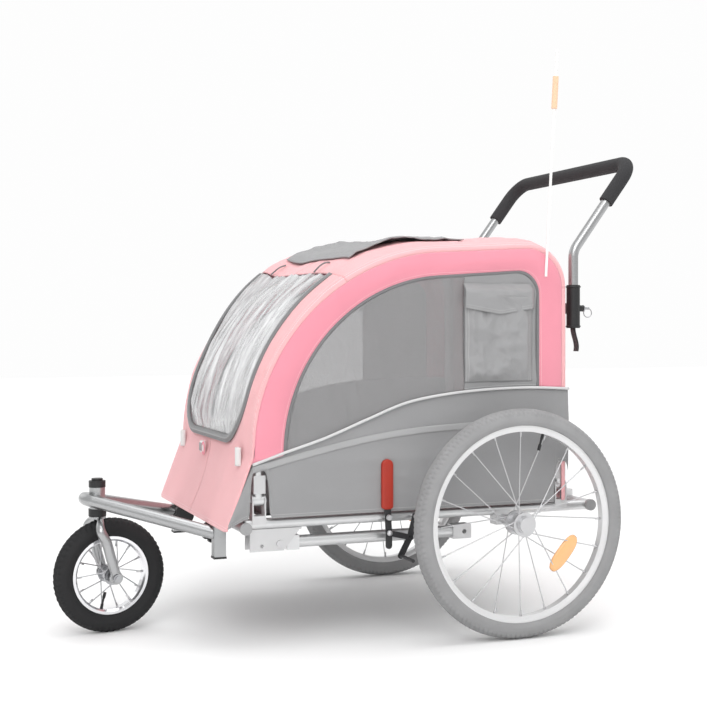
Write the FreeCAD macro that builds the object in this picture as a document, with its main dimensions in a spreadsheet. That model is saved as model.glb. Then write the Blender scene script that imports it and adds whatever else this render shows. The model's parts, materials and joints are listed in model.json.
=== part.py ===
import FreeCAD, Part
import Sketcher
import math
import os
import re
from FreeCAD import Placement, Rotation, Vector

# Pet stroller, millimetres. Work frame: +Z up, front towards -Y, left side at +X,
# rear axle at Y = 0, ground at Z = 0. Every finished piece is then shifted along Y
# by axle_to_origin, which puts the origin below the middle of the whole object.

SIZES = {
    "axle_to_origin": 281.0,
    # wheels
    "rear_wheel_rad": 243.2, "rear_tyre_half": 22.0, "rear_rim_rad": 209.5, "rear_track_half": 378.0,
    "rear_rim_depth": 14.0, "rear_rim_half": 13.0, "rear_hub_rad": 19.0, "rear_hub_half": 24.0,
    "rear_flange_rad": 26.0, "rear_spokes": 20, "spoke_rad": 1.2, "rear_axle_rad": 6.0,
    "front_wheel_rad": 123.5, "front_tyre_half": 21.5, "front_rim_rad": 84.7, "front_rim_depth": 10.0,
    "front_rim_half": 12.0, "front_hub_rad": 14.0, "front_hub_half": 26.0, "front_flange_rad": 19.0,
    "front_spokes": 14, "front_axle_rad": 5.0, "running_gap": 0.05,
    # base frame
    "tube_rad": 11.0, "tube_wall": 1.5, "side_half": 285.0, "rail_height": 261.0,
    "front_bar_fore": 580.0, "front_bar_height": 254.0, "rear_bar_aft": 217.0, "rear_bar_height": 262.0,
    "bar_half": 297.0, "cap_rad": 12.5, "cap_length": 8.0, "slat_rad": 6.0, "slat_count": 3,
    "slat_fore": 420.0, "slat_spacing": 230.0, "carrier_half": 14.0, "carrier_length_half": 17.0,
    # side frames
    "pivot_height": 309.0, "hoop_front": 550.5, "hoop_arc_y": 132.0, "hoop_arc_z": 400.0,
    "skin_arc_rad": 434.0, "rear_arc_y": 60.0, "rear_arc_z": 745.0, "skin_rear_rad": 100.0,
    "hoop_inset": 15.5, "skin": 3.5, "side_inset": 5.0, "side_low": 321.5, "hinge_bolt_rad": 3.0,
    "cheek_gap_half": 11.5, "cheek": 3.0, "cheek_rad": 12.0, "foot_half": 13.5, "foot_low": 323.0,
    "foot_high": 360.0, "bracket_gap_fore": 21.5, "bracket_gap_aft": 19.5, "bracket_gap_high": 386.0,
    "bracket_gap_rear_high": 368.0,
    # cabin
    "skin_half": 300.5, "door_half": 243.0, "door_low": 410.0, "door_corner": 108.0,
    "door_gap": 1.5, "door_top_angle": 123.0, "hem_rad": 2.2, "skirt_fore": 623.0, "skirt_low": 249.0,
    "side_skirt_low": 273.5, "side_skirt_fore": 580.0, "side_skirt_aft": 155.0, "board_fore": 540.0,
    "board_aft": 140.0, "board_corner": 20.0,
    "board_low": 272.5, "board_high": 276.0, "mat_high": 290.0, "mat_half": 254.0,
    "pocket_fore": 93.0, "pocket_aft": 69.0, "pocket_low": 541.0, "pocket_high": 753.0,
    "pocket_depth": 9.0, "rear_panel_low": 276.0,
    # handle
    "handle_half": 272.0, "handle_aft": 190.0, "socket_low": 656.0, "socket_high": 752.0,
    "socket_rad": 15.0, "bend_height": 828.0, "grip_start_height": 940.0,
    "top_aft": 344.0, "top_height": 1033.0, "grip_rad": 16.5, "post_half": 200.0, "post_rad": 10.0,
    "pin_height": 700.0, "pin_rad": 3.0,
    # flag
    "flag_half": 298.0, "flag_top": 1264.0, "flag_foot": 769.0, "flag_foot_aft": 101.0,
         "flag_top_aft": 127.0, "pole_rad": 3.0,
    # front arm and fork
    "head_fore": 826.0, "head_rad": 17.0, "head_low": 269.5, "head_high": 316.0, "arm_height": 292.0,
    "arm_post_half": 185.0, "arm_post_fore": 605.5, "arm_post_low": 182.0,
    "arm_post_high": 246.5, "peg_side": 17.4, "arm_join_height": 226.0, "arm_rad": 13.5,
    "arm_nose_fore": 852.0, "arm_nose_half": 18.0, "arm_nose_rad": 30.0, "post_screw_head": 7.0,
    "post_half_side": 12.5, "post_bore_half": 9.0, "post_cap_half": 13.5,
    "steerer_rad": 12.0, "trail": 26.0, "steer_angle": 8.86, "fork_half": 45.0, "crown_height": 250.0,
    "knob_rad": 23.0, "knob_inner": 122.0, "knob_outer": 140.0, "knob_lobes": 5, "scallop_rad": 7.0,
    "scallop_ring": 26.0,
    # tow bar
    "tow_half": 270.0, "tow_pivot_fore": 505.0, "tow_pivot_height": 218.0, "tow_rad": 12.5,
    "tow_end_fore": 112.0, "tow_cheek_gap_half": 16.0, "tow_cheek": 3.0, "tow_bolt_rad": 4.0,
    "tow_front": 568.0, "tow_back": 458.0, "tow_low": 204.0, "tow_web": 245.5,
    "tow_lock_fore": 543.0, "tow_lock_height": 215.0, "coupler_half": 15.0, "coupler_length": 44.0,
    "coupler_hole_aft": 26.0, "coupler_hole_rad": 5.0, "coupler_round": 4.0,
    # brake
    "brake_plane": 304.0, "lever_fore": 273.0, "lever_height": 262.0,
    "arm_fore": 211.0, "arm_pivot_height": 261.0, "link_fore": 271.0, "link_height": 229.0,
    "link_aft": 223.0, "link_aft_height": 217.0, "brake_rod_fore": 244.0, "brake_rod_height": 179.0,
    "brake_pin_rad": 3.0, "brake_rod_rad": 3.8, "brake_rod_end": 372.0, "lever_tail": 27.0,
}

doc = FreeCAD.newDocument("PetStroller")
sheet = doc.addObject("Spreadsheet::Sheet", "dims")
for row, (alias, value) in enumerate(SIZES.items(), start=1):
    sheet.set("A%d" % row, alias)
    sheet.set("B%d" % row, str(value))
    sheet.setAlias("B%d" % row, alias)
doc.recompute()

NODES = []
WORD = re.compile(r"[a-z][a-z_]+")


def val(text):
    """Work out a size expression, such as "tube_rad - tube_wall", from the sheet."""
    if not isinstance(text, str):
        return float(text)
    total = 0.0
    for sign, factor, word, number in re.findall(r"([+-]?)\s*(?:(\d+\.?\d*)\s*\*\s*)?(?:([a-z_]+)|(\d+\.?\d*))",
                                                 text):
        term = float(sheet.get(word)) if word else float(number)
        term *= float(factor) if factor else 1.0
        total += -term if sign == "-" else term
    return total


def bind(obj, prop, text):
    """Bind a property to the sheet, or set it when it is a bare number."""
    if isinstance(text, str):
        obj.setExpression(prop, WORD.sub(lambda word: "dims." + word.group(0), text))
    else:
        obj.setExpression(prop, "%.4f" % text)


def bind_span(obj, prop, span):
    """Bind a length to the distance between two limits."""
    bind(obj, prop, "%s - (%s)" % (span[1], span[0]))


def place(obj, corner, turn=None):
    """Put an object's own origin at the given corner, turned first."""
    obj.Placement = Placement(Vector(*[val(c) for c in corner]), turn or Rotation())
    for axis, text in zip("xyz", corner):
        bind(obj, "Placement.Base." + axis, text)
    return obj


def box(x, y, z):
    """Block between pairs of limits along X, Y and Z."""
    obj = doc.addObject("Part::Box", "block")
    for prop, (low, high) in zip(("Length", "Width", "Height"), (x, y, z)):
        bind_span(obj, prop, (low, high))
    return place(obj, (x[0], y[0], z[0]))


TURNS = {"X": Rotation(Vector(0, 1, 0), 90), "Y": Rotation(Vector(1, 0, 0), -90), "Z": Rotation()}


def rod(axis, radius, span, centre):
    """Cylinder along one axis: its span on that axis, its centre on the other two."""
    obj = doc.addObject("Part::Cylinder", "rod")
    bind(obj, "Radius", radius)
    bind_span(obj, "Height", span)
    corner = {"X": (span[0], centre[0], centre[1]), "Y": (centre[0], span[0], centre[1]),
              "Z": (centre[0], centre[1], span[0])}[axis]
    return place(obj, corner, TURNS[axis])


def cut(base, tool):
    obj = doc.addObject("Part::Cut", "cut")
    obj.Base = base
    obj.Tool = tool
    return obj


def fuse(*parts):
    obj = doc.addObject("Part::MultiFuse", "fuse")
    obj.Shapes = list(parts)
    return obj


def group(*parts):
    obj = doc.addObject("Part::Compound", "group")
    obj.Links = list(parts)
    return obj


def mirror(source):
    obj = doc.addObject("Part::Mirroring", "mirror")
    obj.Source = source
    obj.Normal = Vector(1, 0, 0)
    return obj


def both(source):
    """A left piece and its mirror image on the right."""
    return group(source, mirror(source))


def pipe(axis, radius, span, centre):
    """Straight hollow tube with the sheet's wall."""
    inner = rod(axis, "%s - tube_wall" % radius, span, centre)
    return cut(rod(axis, radius, span, centre), inner)


def shape(made):
    """A document object around a shape worked out with Part's own functions."""
    obj = doc.addObject("Part::Feature", "shape")
    obj.Shape = made
    return obj


def new_body(name):
    return doc.addObject("PartDesign::Body", name)


def sketch(body, role):
    """Empty sketch on one of a body's origin planes."""
    made = body.newObject("Sketcher::SketchObject", "sketch")
    planes = [item for item in body.Origin.OriginFeatures if item.Role == role]
    made.AttachmentSupport = (planes[0], [""])
    made.MapMode = "FlatFace"
    return made


def hold(made, kind, element, point, text):
    """Bind one coordinate of a sketch point to the sheet, or put it on the sketch's axis."""
    if text == 0.0:
        made.addConstraint(Sketcher.Constraint("PointOnObject", element, point,
                                               -2 if kind == "DistanceX" else -1))
        return
    index = made.addConstraint(Sketcher.Constraint(kind, -1, 1, element, point, val(text)))
    bind(made, "Constraints[%d]" % index, text)


def sketch_circle(made, radius, centre=(0.0, 0.0)):
    index = made.addGeometry(Part.Circle(Vector(val(centre[0]), val(centre[1]), 0), Vector(0, 0, 1),
                                         val(radius)))
    hold(made, "DistanceX", index, 3, centre[0])
    hold(made, "DistanceY", index, 3, centre[1])
    bind(made, "Constraints[%d]" % made.addConstraint(Sketcher.Constraint("Radius", index, val(radius))),
         radius)


def sketch_outline(made, points):
    """Closed run of lines whose corners are bound to the sheet."""
    corners = [Vector(val(x), val(y), 0) for x, y in points]
    for start, end in zip(corners, corners[1:] + corners[:1]):
        made.addGeometry(Part.LineSegment(start, end))
    for index, (x, y) in enumerate(points):
        made.addConstraint(Sketcher.Constraint("Coincident", index - 1 if index else len(points) - 1, 2,
                                               index, 1))
        hold(made, "DistanceX", index, 1, x)
        hold(made, "DistanceY", index, 1, y)


def pad(body, made, length):
    obj = body.newObject("PartDesign::Pad", "pad")
    obj.Profile = made
    bind(obj, "Length", length)
    return obj


def turned(name, points, centre):
    """Body of revolution about X through centre; the points give X and radius."""
    body = new_body(name)
    made = sketch(body, "XZ_Plane")
    sketch_outline(made, points)
    obj = body.newObject("PartDesign::Revolution", "turned")
    obj.Profile = made
    obj.ReferenceAxis = (made, ["H_Axis"])
    obj.Angle = 360.0
    return place(body, centre)


def fillet_wire(points, radii):
    """Straight runs through points, joined by tangent arcs at the inner points."""
    points = [Vector(*p) for p in points]
    edges = []
    start = points[0]
    for before, corner, after, radius in zip(points, points[1:], points[2:], radii):
        back = (before - corner).normalize()
        ahead = (after - corner).normalize()
        half = math.acos(max(-1.0, min(1.0, back.dot(ahead)))) / 2
        reach = radius / math.tan(half)
        middle = corner + (back + ahead).normalize() * (radius / math.sin(half) - radius)
        enter = corner + back * reach
        leave = corner + ahead * reach
        edges.append(Part.LineSegment(start, enter).toShape())
        edges.append(Part.Arc(enter, middle, leave).toShape())
        start = leave
    edges.append(Part.LineSegment(start, points[-1]).toShape())
    return Part.Wire(edges)


def swept(wire, radius):
    """Round bar along a wire, its radius bound to the sheet."""
    ring = doc.addObject("Part::Circle", "ring")
    bind(ring, "Radius", radius)
    first = wire.OrderedEdges[0]
    tangent = first.tangentAt(first.FirstParameter)
    ring.Placement = Placement(first.valueAt(first.FirstParameter), Rotation(Vector(0, 0, 1), tangent))
    path = shape(wire)
    obj = doc.addObject("Part::Sweep", "sweep")
    obj.Sections = [ring]
    obj.Spine = (path, ["Edge%d" % (i + 1) for i in range(len(wire.Edges))])
    obj.Solid = True
    obj.Frenet = False
    obj.Transition = "Right corner"
    return obj


def swept_tube(wire, radius):
    return cut(swept(wire, radius), swept(wire, "%s - tube_wall" % radius))


def extruded(wire, low, high):
    """Closed outline in a plane across X, made solid between two X positions."""
    face = shape(Part.Face(wire))
    face.Placement = Placement(Vector(val(low), 0, 0), Rotation())
    bind(face, "Placement.Base.x", low)
    obj = doc.addObject("Part::Extrusion", "extrusion")
    obj.Base = face
    obj.DirMode = "Custom"
    obj.Dir = Vector(1, 0, 0)
    bind_span(obj, "LengthFwd", (low, high))
    obj.Solid = True
    return obj


def finish(label, piece, turn=None):
    """Name a finished piece and move it from the axle frame to the object's own frame."""
    node = group(piece)
    node.Label = label
    shift = Placement(Vector(0, val("axle_to_origin"), 0), Rotation())
    node.Placement = shift.multiply(turn) if turn else shift
    if not turn:
        bind(node, "Placement.Base.y", "axle_to_origin")
    NODES.append(node)


def yz(y, z):
    return Vector(0, y, z)


def arc_point(centre, radius, degrees):
    angle = math.radians(degrees)
    return yz(centre[0] + radius * math.cos(angle), centre[1] + radius * math.sin(angle))


FRONT_ARC = (-val("hoop_arc_y"), val("hoop_arc_z"))
REAR_ARC = (val("rear_arc_y"), val("rear_arc_z"))
ARC_STEP = val("skin_arc_rad - skin_rear_rad")
SPACING = math.hypot(REAR_ARC[0] - FRONT_ARC[0], REAR_ARC[1] - FRONT_ARC[1])
ROOF_ANGLE = math.degrees(math.atan2(REAR_ARC[1] - FRONT_ARC[1], REAR_ARC[0] - FRONT_ARC[0])
                          + math.acos(ARC_STEP / SPACING))


def profile_edges(inset, low_front, low_rear, start=180.0, stop=0.0):
    """Side outline of the cabin, front to rear, offset inward by inset.

    It rises at the front, turns over the large arc, runs along the roof and comes
    down over the small rear arc. start and stop trim the large and the small arc.
    """
    big = val("skin_arc_rad") - inset
    small = val("skin_rear_rad") - inset
    edges = []
    first = arc_point(FRONT_ARC, big, start)
    if low_front is not None:
        edges.append(Part.LineSegment(yz(first.y, low_front), first).toShape())
    knee = arc_point(FRONT_ARC, big, ROOF_ANGLE)
    edges.append(Part.Arc(first, arc_point(FRONT_ARC, big, (start + ROOF_ANGLE) / 2), knee).toShape())
    roof_end = arc_point(REAR_ARC, small, ROOF_ANGLE)
    edges.append(Part.LineSegment(knee, roof_end).toShape())
    last = arc_point(REAR_ARC, small, stop)
    edges.append(Part.Arc(roof_end, arc_point(REAR_ARC, small, (ROOF_ANGLE + stop) / 2), last).toShape())
    if low_rear is not None:
        edges.append(Part.LineSegment(last, yz(last.y, low_rear)).toShape())
    return edges


def closed(edges):
    """Close a chain of edges with a straight line."""
    wire = Part.Wire(edges)
    ends = wire.OrderedVertexes
    return Part.Wire(edges + [Part.LineSegment(ends[-1].Point, ends[0].Point).toShape()])


def sheet_outline(outer, inner):
    """Closed outline between an outer and an inner chain of edges."""
    outer_ends = Part.Wire(outer).OrderedVertexes
    inner_ends = Part.Wire(inner).OrderedVertexes
    start_cap = Part.LineSegment(outer_ends[0].Point, inner_ends[0].Point).toShape()
    end_cap = Part.LineSegment(outer_ends[-1].Point, inner_ends[-1].Point).toShape()
    return Part.Wire(Part.__sortEdges__(outer + inner + [start_cap, end_cap]))


# ---------------------------------------------------------------- base frame

def base_frame():
    """Welded rails, crossbars and cross slats; the rails are coped to the crossbars."""
    rail = pipe("Y", "tube_rad", ("-front_bar_fore", "rear_bar_aft"), ("side_half", "rail_height"))
    front_bar = pipe("X", "tube_rad", ("-bar_half", "bar_half"), ("-front_bar_fore", "front_bar_height"))
    rear_bar = pipe("X", "tube_rad", ("-bar_half", "bar_half"), ("rear_bar_aft", "rear_bar_height"))
    front_cope = rod("X", "tube_rad + 0.02", ("-bar_half", "bar_half"), ("-front_bar_fore",
                                                                         "front_bar_height"))
    rear_cope = rod("X", "tube_rad + 0.02", ("-bar_half", "bar_half"), ("rear_bar_aft",
                                                                        "rear_bar_height"))
    rails = both(cut(cut(rail, front_cope), rear_cope))
    slats = []
    count = int(val("slat_count"))
    for index in range(count):
        y = "-slat_fore + %d*slat_spacing" % index if index else "-slat_fore"
        slats.append(rod("X", "slat_rad", ("-side_half + tube_rad", "side_half - tube_rad"),
                         (y, "rail_height + 4")))
    finish("base_frame", group(rails, front_bar, rear_bar, *slats))


def crossbar_caps():
    caps = []
    for y, z in (("-front_bar_fore", "front_bar_height"), ("rear_bar_aft", "rear_bar_height")):
        head = rod("X", "cap_rad", ("bar_half", "bar_half + cap_length"), (y, z))
        plug = rod("X", "tube_rad - tube_wall - 0.1", ("bar_half - 12", "bar_half"), (y, z))
        caps.append(both(fuse(head, plug)))
    finish("crossbar_caps", group(*caps))


HINGE_STATIONS = ("-hoop_front", "rear_arc_y + skin_rear_rad - hoop_inset")


def rail_brackets():
    """Two cheeks on a saddle over the rail, rounded about the fold bolt."""
    brackets = []
    for y in HINGE_STATIONS:
        low, high = "%s - cheek_gap_half - cheek" % y, "%s + cheek_gap_half + cheek" % y
        block = box(("side_half - cheek_rad", "side_half + cheek_rad"), (low, high), ("rail_height",
                                                                                      "pivot_height"))
        crown = rod("Y", "cheek_rad", (low, high), ("side_half", "pivot_height"))
        slot = box(("side_half - 20", "side_half + 20"), ("%s - cheek_gap_half" % y,
                                                          "%s + cheek_gap_half" % y),
                   ("rail_height + tube_rad + 6", "pivot_height + 30"))
        bore = rod("Y", "hinge_bolt_rad", (low, high), ("side_half", "pivot_height"))
        rail = rod("Y", "tube_rad", (low, high), ("side_half", "rail_height"))
        brackets.append(both(cut(cut(cut(fuse(block, crown), slot), bore), rail)))
    finish("rail_brackets", group(*brackets))


def bolt(axis, radius, span, centre, head=2.0, head_length=3.5):
    """Plain shank with a round head at each end, past the span."""
    shank = rod(axis, radius, span, centre)
    ends = []
    for low, high in (("%s - %s" % (span[0], head_length), span[0]), (span[1], "%s + %s" % (span[1],
                                                                                            head_length))):
        ends.append(rod(axis, "%s + %s" % (radius, head), (low, high), centre))
    return fuse(shank, *ends)


def frame_bolts():
    bolts = []
    for y in HINGE_STATIONS:
        span = ("%s - cheek_gap_half - cheek" % y, "%s + cheek_gap_half + cheek" % y)
        bolts.append(both(bolt("Y", "hinge_bolt_rad", span, ("side_half", "pivot_height"))))
    reach = "tow_cheek_gap_half + tow_cheek"
    bolts.append(bolt("X", "tow_bolt_rad", ("tow_half - tow_cheek_gap_half - tow_cheek",
                                            "tow_half + %s" % reach),
                      ("-tow_pivot_fore", "tow_pivot_height"), 3.0))
    for y, z in (("-lever_fore", "lever_height"), ("-arm_fore", "arm_pivot_height")):
        stud = rod("X", "brake_pin_rad", ("side_half + tube_rad", "brake_plane + 9"), (y, z))
        spacer = rod("X", 6.0, ("side_half + tube_rad", "brake_plane"), (y, z))
        nut = rod("X", 5.5, ("brake_plane + 9", "brake_plane + 13"), (y, z))
        bolts.append(fuse(stud, spacer, nut))
    finish("frame_bolts", group(*bolts))


def axle_carriers():
    block = box(("side_half - carrier_half", "side_half + carrier_half"),
                ("-carrier_length_half", "carrier_length_half"), ("rear_wheel_rad - 13", "rail_height"))
    rail = rod("Y", "tube_rad", ("-carrier_length_half - 3", "carrier_length_half + 3"), ("side_half",
                                                                                          "rail_height"))
    bore = rod("X", "rear_axle_rad", ("side_half - 20", "side_half + 20"), (0.0, "rear_wheel_rad"))
    finish("axle_carriers", both(cut(cut(block, rail), bore)))


def rear_axles():
    """Stub axle with an inner head and a collar that stands the hub off the carrier."""
    shaft = rod("X", "rear_axle_rad", ("side_half - carrier_half", "rear_track_half + rear_hub_half + 2"),
                (0.0, "rear_wheel_rad"))
    head = rod("X", "rear_axle_rad + 4", ("side_half - carrier_half - 6", "side_half - carrier_half"),
               (0.0, "rear_wheel_rad"))
    collar = rod("X", "rear_axle_rad + 4", ("side_half + carrier_half",
                                            "rear_track_half - rear_hub_half - 1"),
                 (0.0, "rear_wheel_rad"))
    finish("rear_axles", both(fuse(shaft, head, collar)))


def arm_pegs():
    """Square pegs hanging in front of the crossbar; the arm's posts slide over them."""
    half = "0.5*peg_side"
    peg = box(("arm_post_half - %s" % half, "arm_post_half + %s" % half),
              ("-arm_post_fore - %s" % half, "-arm_post_fore + %s" % half), ("arm_post_low + 5",
                                                                             "arm_post_high + 1"))
    head = box(("arm_post_half - 13", "arm_post_half + 13"), ("-arm_post_fore - 10", "-front_bar_fore"),
               ("arm_post_high + 1", "arm_post_high + 11"))
    bar = rod("X", "tube_rad + 0.02", ("arm_post_half - 30", "arm_post_half + 30"),
              ("-front_bar_fore", "front_bar_height"))
    finish("arm_pegs", both(cut(fuse(peg, head), bar)))


# ---------------------------------------------------------------- cabin

def floor():
    """Stiff board with rounded corners, and the mat that lies on it."""
    body = new_body("board")
    made = sketch(body, "XY_Plane")
    sketch_outline(made, [("-mat_half - 6", "-board_fore"), ("mat_half + 6", "-board_fore"),
                          ("mat_half + 6", "board_aft"), ("-mat_half - 6", "board_aft")])
    slab = pad(body, made, "board_high - board_low")
    doc.recompute()
    upright = ["Edge%d" % (index + 1) for index, edge in enumerate(slab.Shape.Edges)
               if abs(edge.tangentAt(edge.FirstParameter).z) > 0.9]
    rounded = body.newObject("PartDesign::Fillet", "corners")
    rounded.Base = (slab, upright)
    bind(rounded, "Radius", "board_corner")
    finish("floor_board", place(body, (0.0, 0.0, "board_low")))
    finish("floor_mat", box(("-mat_half", "mat_half"), ("-board_fore + 6", "board_aft - 6"),
                            ("board_high", "mat_high")))


DOOR_SPLIT = val("door_top_angle")


def hinge_line():
    """Centre of the door's top hem, in the middle of the skin."""
    return arc_point(FRONT_ARC, val("skin_arc_rad") - val("skin") / 2, DOOR_SPLIT)


def front_chain(inset, low, top_angle, skirt):
    """Front of the cabin from its lower edge to a place on the large arc."""
    big = val("skin_arc_rad") - inset
    edges = []
    first = arc_point(FRONT_ARC, big, 180.0)
    if skirt:
        flare = val("skirt_fore") - inset
        foot = yz(-flare, low)
        edges.append(Part.LineSegment(foot, first).toShape())
    else:
        edges.append(Part.LineSegment(yz(first.y, low), first).toShape())
    top = arc_point(FRONT_ARC, big, top_angle)
    edges.append(Part.Arc(first, arc_point(FRONT_ARC, big, (180.0 + top_angle) / 2), top).toShape())
    return edges


def door_prism(gap):
    """Rounded window outline across the front, as a prism running along Y."""
    half = val("door_half") + gap
    low = val("door_low") - gap
    corner = val("door_corner") + gap
    high = hinge_line().z + 60.0
    points = [(-half, -900, high), (-half, -900, low), (half, -900, low), (half, -900, high)]
    wire = fillet_wire(points, [corner, corner])
    top = Part.LineSegment(Vector(*points[-1]), Vector(*points[0])).toShape()
    return Part.Face(Part.Wire(wire.Edges + [top])).extrude(Vector(0, 800, 0))


def front_and_door():
    top_gap = math.degrees(4.5 / val("skin_arc_rad"))
    outer = front_chain(0.0, val("skirt_low"), DOOR_SPLIT, True)
    inner = front_chain(val("skin"), val("skirt_low"), DOOR_SPLIT, True)
    band = extruded(sheet_outline(outer, inner), "-skin_half", "skin_half")
    finish("front_panel", cut(band, shape(door_prism(val("door_gap")))))
    outer = front_chain(0.0, val("door_low") - 20, DOOR_SPLIT + top_gap / 3, False)
    inner = front_chain(val("skin"), val("door_low") - 20, DOOR_SPLIT + top_gap / 3, False)
    flap = doc.addObject("Part::Common", "common")
    flap.Base = extruded(sheet_outline(outer, inner), "-door_half", "door_half")
    flap.Tool = shape(door_prism(0.0))
    line = hinge_line()
    hem = rod("X", "hem_rad", ("-door_half", "door_half"), (line.y, line.z))
    finish("front_door", fuse(flap, hem))


def roof_and_rear():
    top_gap = math.degrees(4.5 / val("skin_arc_rad"))
    outer = profile_edges(0.0, None, None, DOOR_SPLIT - top_gap, 0.0)
    inner = profile_edges(val("skin"), None, None, DOOR_SPLIT - top_gap, 0.0)
    finish("roof_panel", extruded(sheet_outline(outer, inner), "-skin_half", "skin_half"))
    rear = box(("-skin_half", "skin_half"), ("rear_arc_y + skin_rear_rad - skin",
                                             "rear_arc_y + skin_rear_rad"),
               ("rear_panel_low", "rear_arc_z"))
    corner = box(("side_half - 15", "skin_half + 1"), ("rear_arc_y", "rear_arc_y + 200"),
                 ("rear_panel_low - 1", "bracket_gap_rear_high"))
    finish("rear_panel", cut(rear, both(corner)))


def bracket_gaps():
    """Room in the side fabric for the two hinge brackets."""
    gaps = []
    for y, half, high in ((HINGE_STATIONS[0], "bracket_gap_fore", "bracket_gap_high"),
                          (HINGE_STATIONS[1], "bracket_gap_aft", "bracket_gap_rear_high")):
        gaps.append(box(("skin_half - skin - 1", "skin_half + 1"), ("%s - %s" % (y, half), "%s + %s" % (y,
                                                                                                        half)),
                        ("side_skirt_low - 1", high)))
    return fuse(*gaps)


def side_skirts():
    """Fabric below the fold line, hanging outside the rails."""
    skirt = box(("skin_half - skin", "skin_half"), ("-side_skirt_fore", "side_skirt_aft"),
                ("side_skirt_low", "side_low - 2"))
    finish("side_skirts", both(cut(skirt, bracket_gaps())))


def side_frames():
    hoop_wire = Part.Wire(profile_edges(val("hoop_inset"), val("pivot_height"), val("pivot_height")))
    hoop_wire.translate(Vector(val("side_half"), 0, 0))
    tube = swept_tube(hoop_wire, "tube_rad")
    eyes = []
    bores = []
    feet = []
    for y in HINGE_STATIONS:
        span = ("%s - tube_rad" % y, "%s + tube_rad" % y)
        eyes.append(rod("Y", "tube_rad", span, ("side_half", "pivot_height")))
        bores.append(rod("Y", "hinge_bolt_rad + running_gap", span, ("side_half", "pivot_height")))
        sleeve = box(("side_half - 12", "side_half + 11.5"), ("%s - foot_half" % y, "%s + foot_half" % y),
                     ("foot_low", "foot_high"))
        core = rod("Z", "tube_rad", ("foot_low", "foot_high"), ("side_half", y))
        trim = box(("side_half - 20", "side_half + 20"), ("-hoop_front - 30", "-hoop_front - 11.4"),
                   ("foot_low", "foot_high"))
        rear_trim = box(("side_half - 20", "side_half + 20"),
                        ("rear_arc_y + skin_rear_rad - hoop_inset + 11.4",
                         "rear_arc_y + skin_rear_rad + 20"),
                        ("foot_low", "foot_high"))
        feet.append(cut(cut(cut(sleeve, core), trim), rear_trim))
    hoop = cut(fuse(tube, *eyes), fuse(*bores))
    panel_wire = closed(profile_edges(val("side_inset"), val("side_low"), val("side_low")))
    panel = cut(extruded(panel_wire, "skin_half - skin", "skin_half"), bracket_gaps())
    pocket = box(("skin_half", "skin_half + pocket_depth"), ("-pocket_fore", "pocket_aft"),
                 ("pocket_low", "pocket_high"))
    for side, flip in (("left", lambda piece: group(piece)), ("right", mirror)):
        finish("hoop_" + side, flip(hoop))
        finish("hinge_feet_" + side, flip(group(*feet)))
        finish("side_panel_" + side, flip(panel))
        finish("pocket_" + side, flip(pocket))


# ---------------------------------------------------------------- handle and flag

def rear_posts():
    """Posts behind the cabin that carry the handle's sockets."""
    post = rod("Z", "post_rad", ("rear_bar_height + 13", "pin_height"), ("post_half", "handle_aft"))
    arm = rod("X", "post_rad", ("post_half", "handle_half - socket_rad - 1"), ("handle_aft",
                                                                               "pin_height"))
    knee = doc.addObject("Part::Sphere", "knee")
    bind(knee, "Radius", "post_rad")
    place(knee, ("post_half", "handle_aft", "pin_height"))
    foot = box(("post_half - 14", "post_half + 14"), ("handle_aft - 12", "rear_bar_aft + 6"),
               ("rear_bar_height - 3", "rear_bar_height + 25"))
    bar = rod("X", "tube_rad", (150.0, 250.0), ("rear_bar_aft", "rear_bar_height"))
    finish("rear_posts", both(cut(fuse(post, arm, knee, foot), bar)))


def handle_sockets():
    sleeve = rod("Z", "socket_rad", ("socket_low", "socket_high"), ("handle_half", "handle_aft"))
    bore = rod("Z", "tube_rad + running_gap", ("socket_low + 5", "socket_high"), ("handle_half",
                                                                                  "handle_aft"))
    lug = box(("handle_half - socket_rad - 1", "handle_half"), ("handle_aft - 11", "handle_aft + 11"),
              ("pin_height - 12", "pin_height + 12"))
    boss = rod("Y", 7.0, ("handle_aft", "handle_aft + 24"), ("handle_half", "pin_height"))
    pin_bore = rod("Y", "pin_rad + running_gap", ("handle_aft", "handle_aft + 24"), ("handle_half",
                                                                                     "pin_height"))
    finish("handle_sockets", both(cut(cut(fuse(sleeve, lug, boss), bore), pin_bore)))


def pull_pins():
    """Spring pins behind the sockets, each with a disc and a wire ring."""
    pin = rod("Y", "pin_rad", ("handle_aft + tube_rad + 0.8", "handle_aft + 40"), ("handle_half",
                                                                                   "pin_height"))
    disc = rod("Y", 7.5, ("handle_aft + 24.5", "handle_aft + 27"), ("handle_half", "pin_height"))
    ring = doc.addObject("Part::Torus", "ring")
    bind(ring, "Radius1", 10.0)
    bind(ring, "Radius2", 1.1)
    ring.Placement = Placement(Vector(val("handle_half"), val("handle_aft") + 37, val("pin_height") - 10),
                               Rotation(Vector(0, 1, 0), 90))
    left = fuse(pin, disc, ring)
    finish("pull_pin_left", left)
    finish("pull_pin_right", mirror(left))


def handle_wire(trim=None):
    """Handle centreline: up from each socket, back along the slope, across the top."""
    half = val("handle_half")
    low = val("socket_low") + 6
    points = [(half, val("handle_aft"), low), (half, val("handle_aft"), val("bend_height")),
              (half, val("top_aft"), val("top_height")), (-half, val("top_aft"), val("top_height")),
              (-half, val("handle_aft"), val("bend_height")), (-half, val("handle_aft"), low)]
    radii = [45.0, 48.0, 48.0, 45.0]
    if trim:
        share = (val("grip_start_height") - val("bend_height")) / (val("top_height") - val("bend_height"))
        start_aft = val("handle_aft") + share * (val("top_aft") - val("handle_aft"))
        points[1] = (half, start_aft, val("grip_start_height"))
        points[4] = (-half, start_aft, val("grip_start_height"))
        points = points[1:5]
        radii = radii[1:3]
    return fillet_wire(points, radii)


def handlebar():
    finish("handle_tube", swept_tube(handle_wire(), "tube_rad"))
    foam = cut(swept(handle_wire(True), "grip_rad"), swept(handle_wire(True), "tube_rad"))
    finish("handle_grip", foam)


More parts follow.
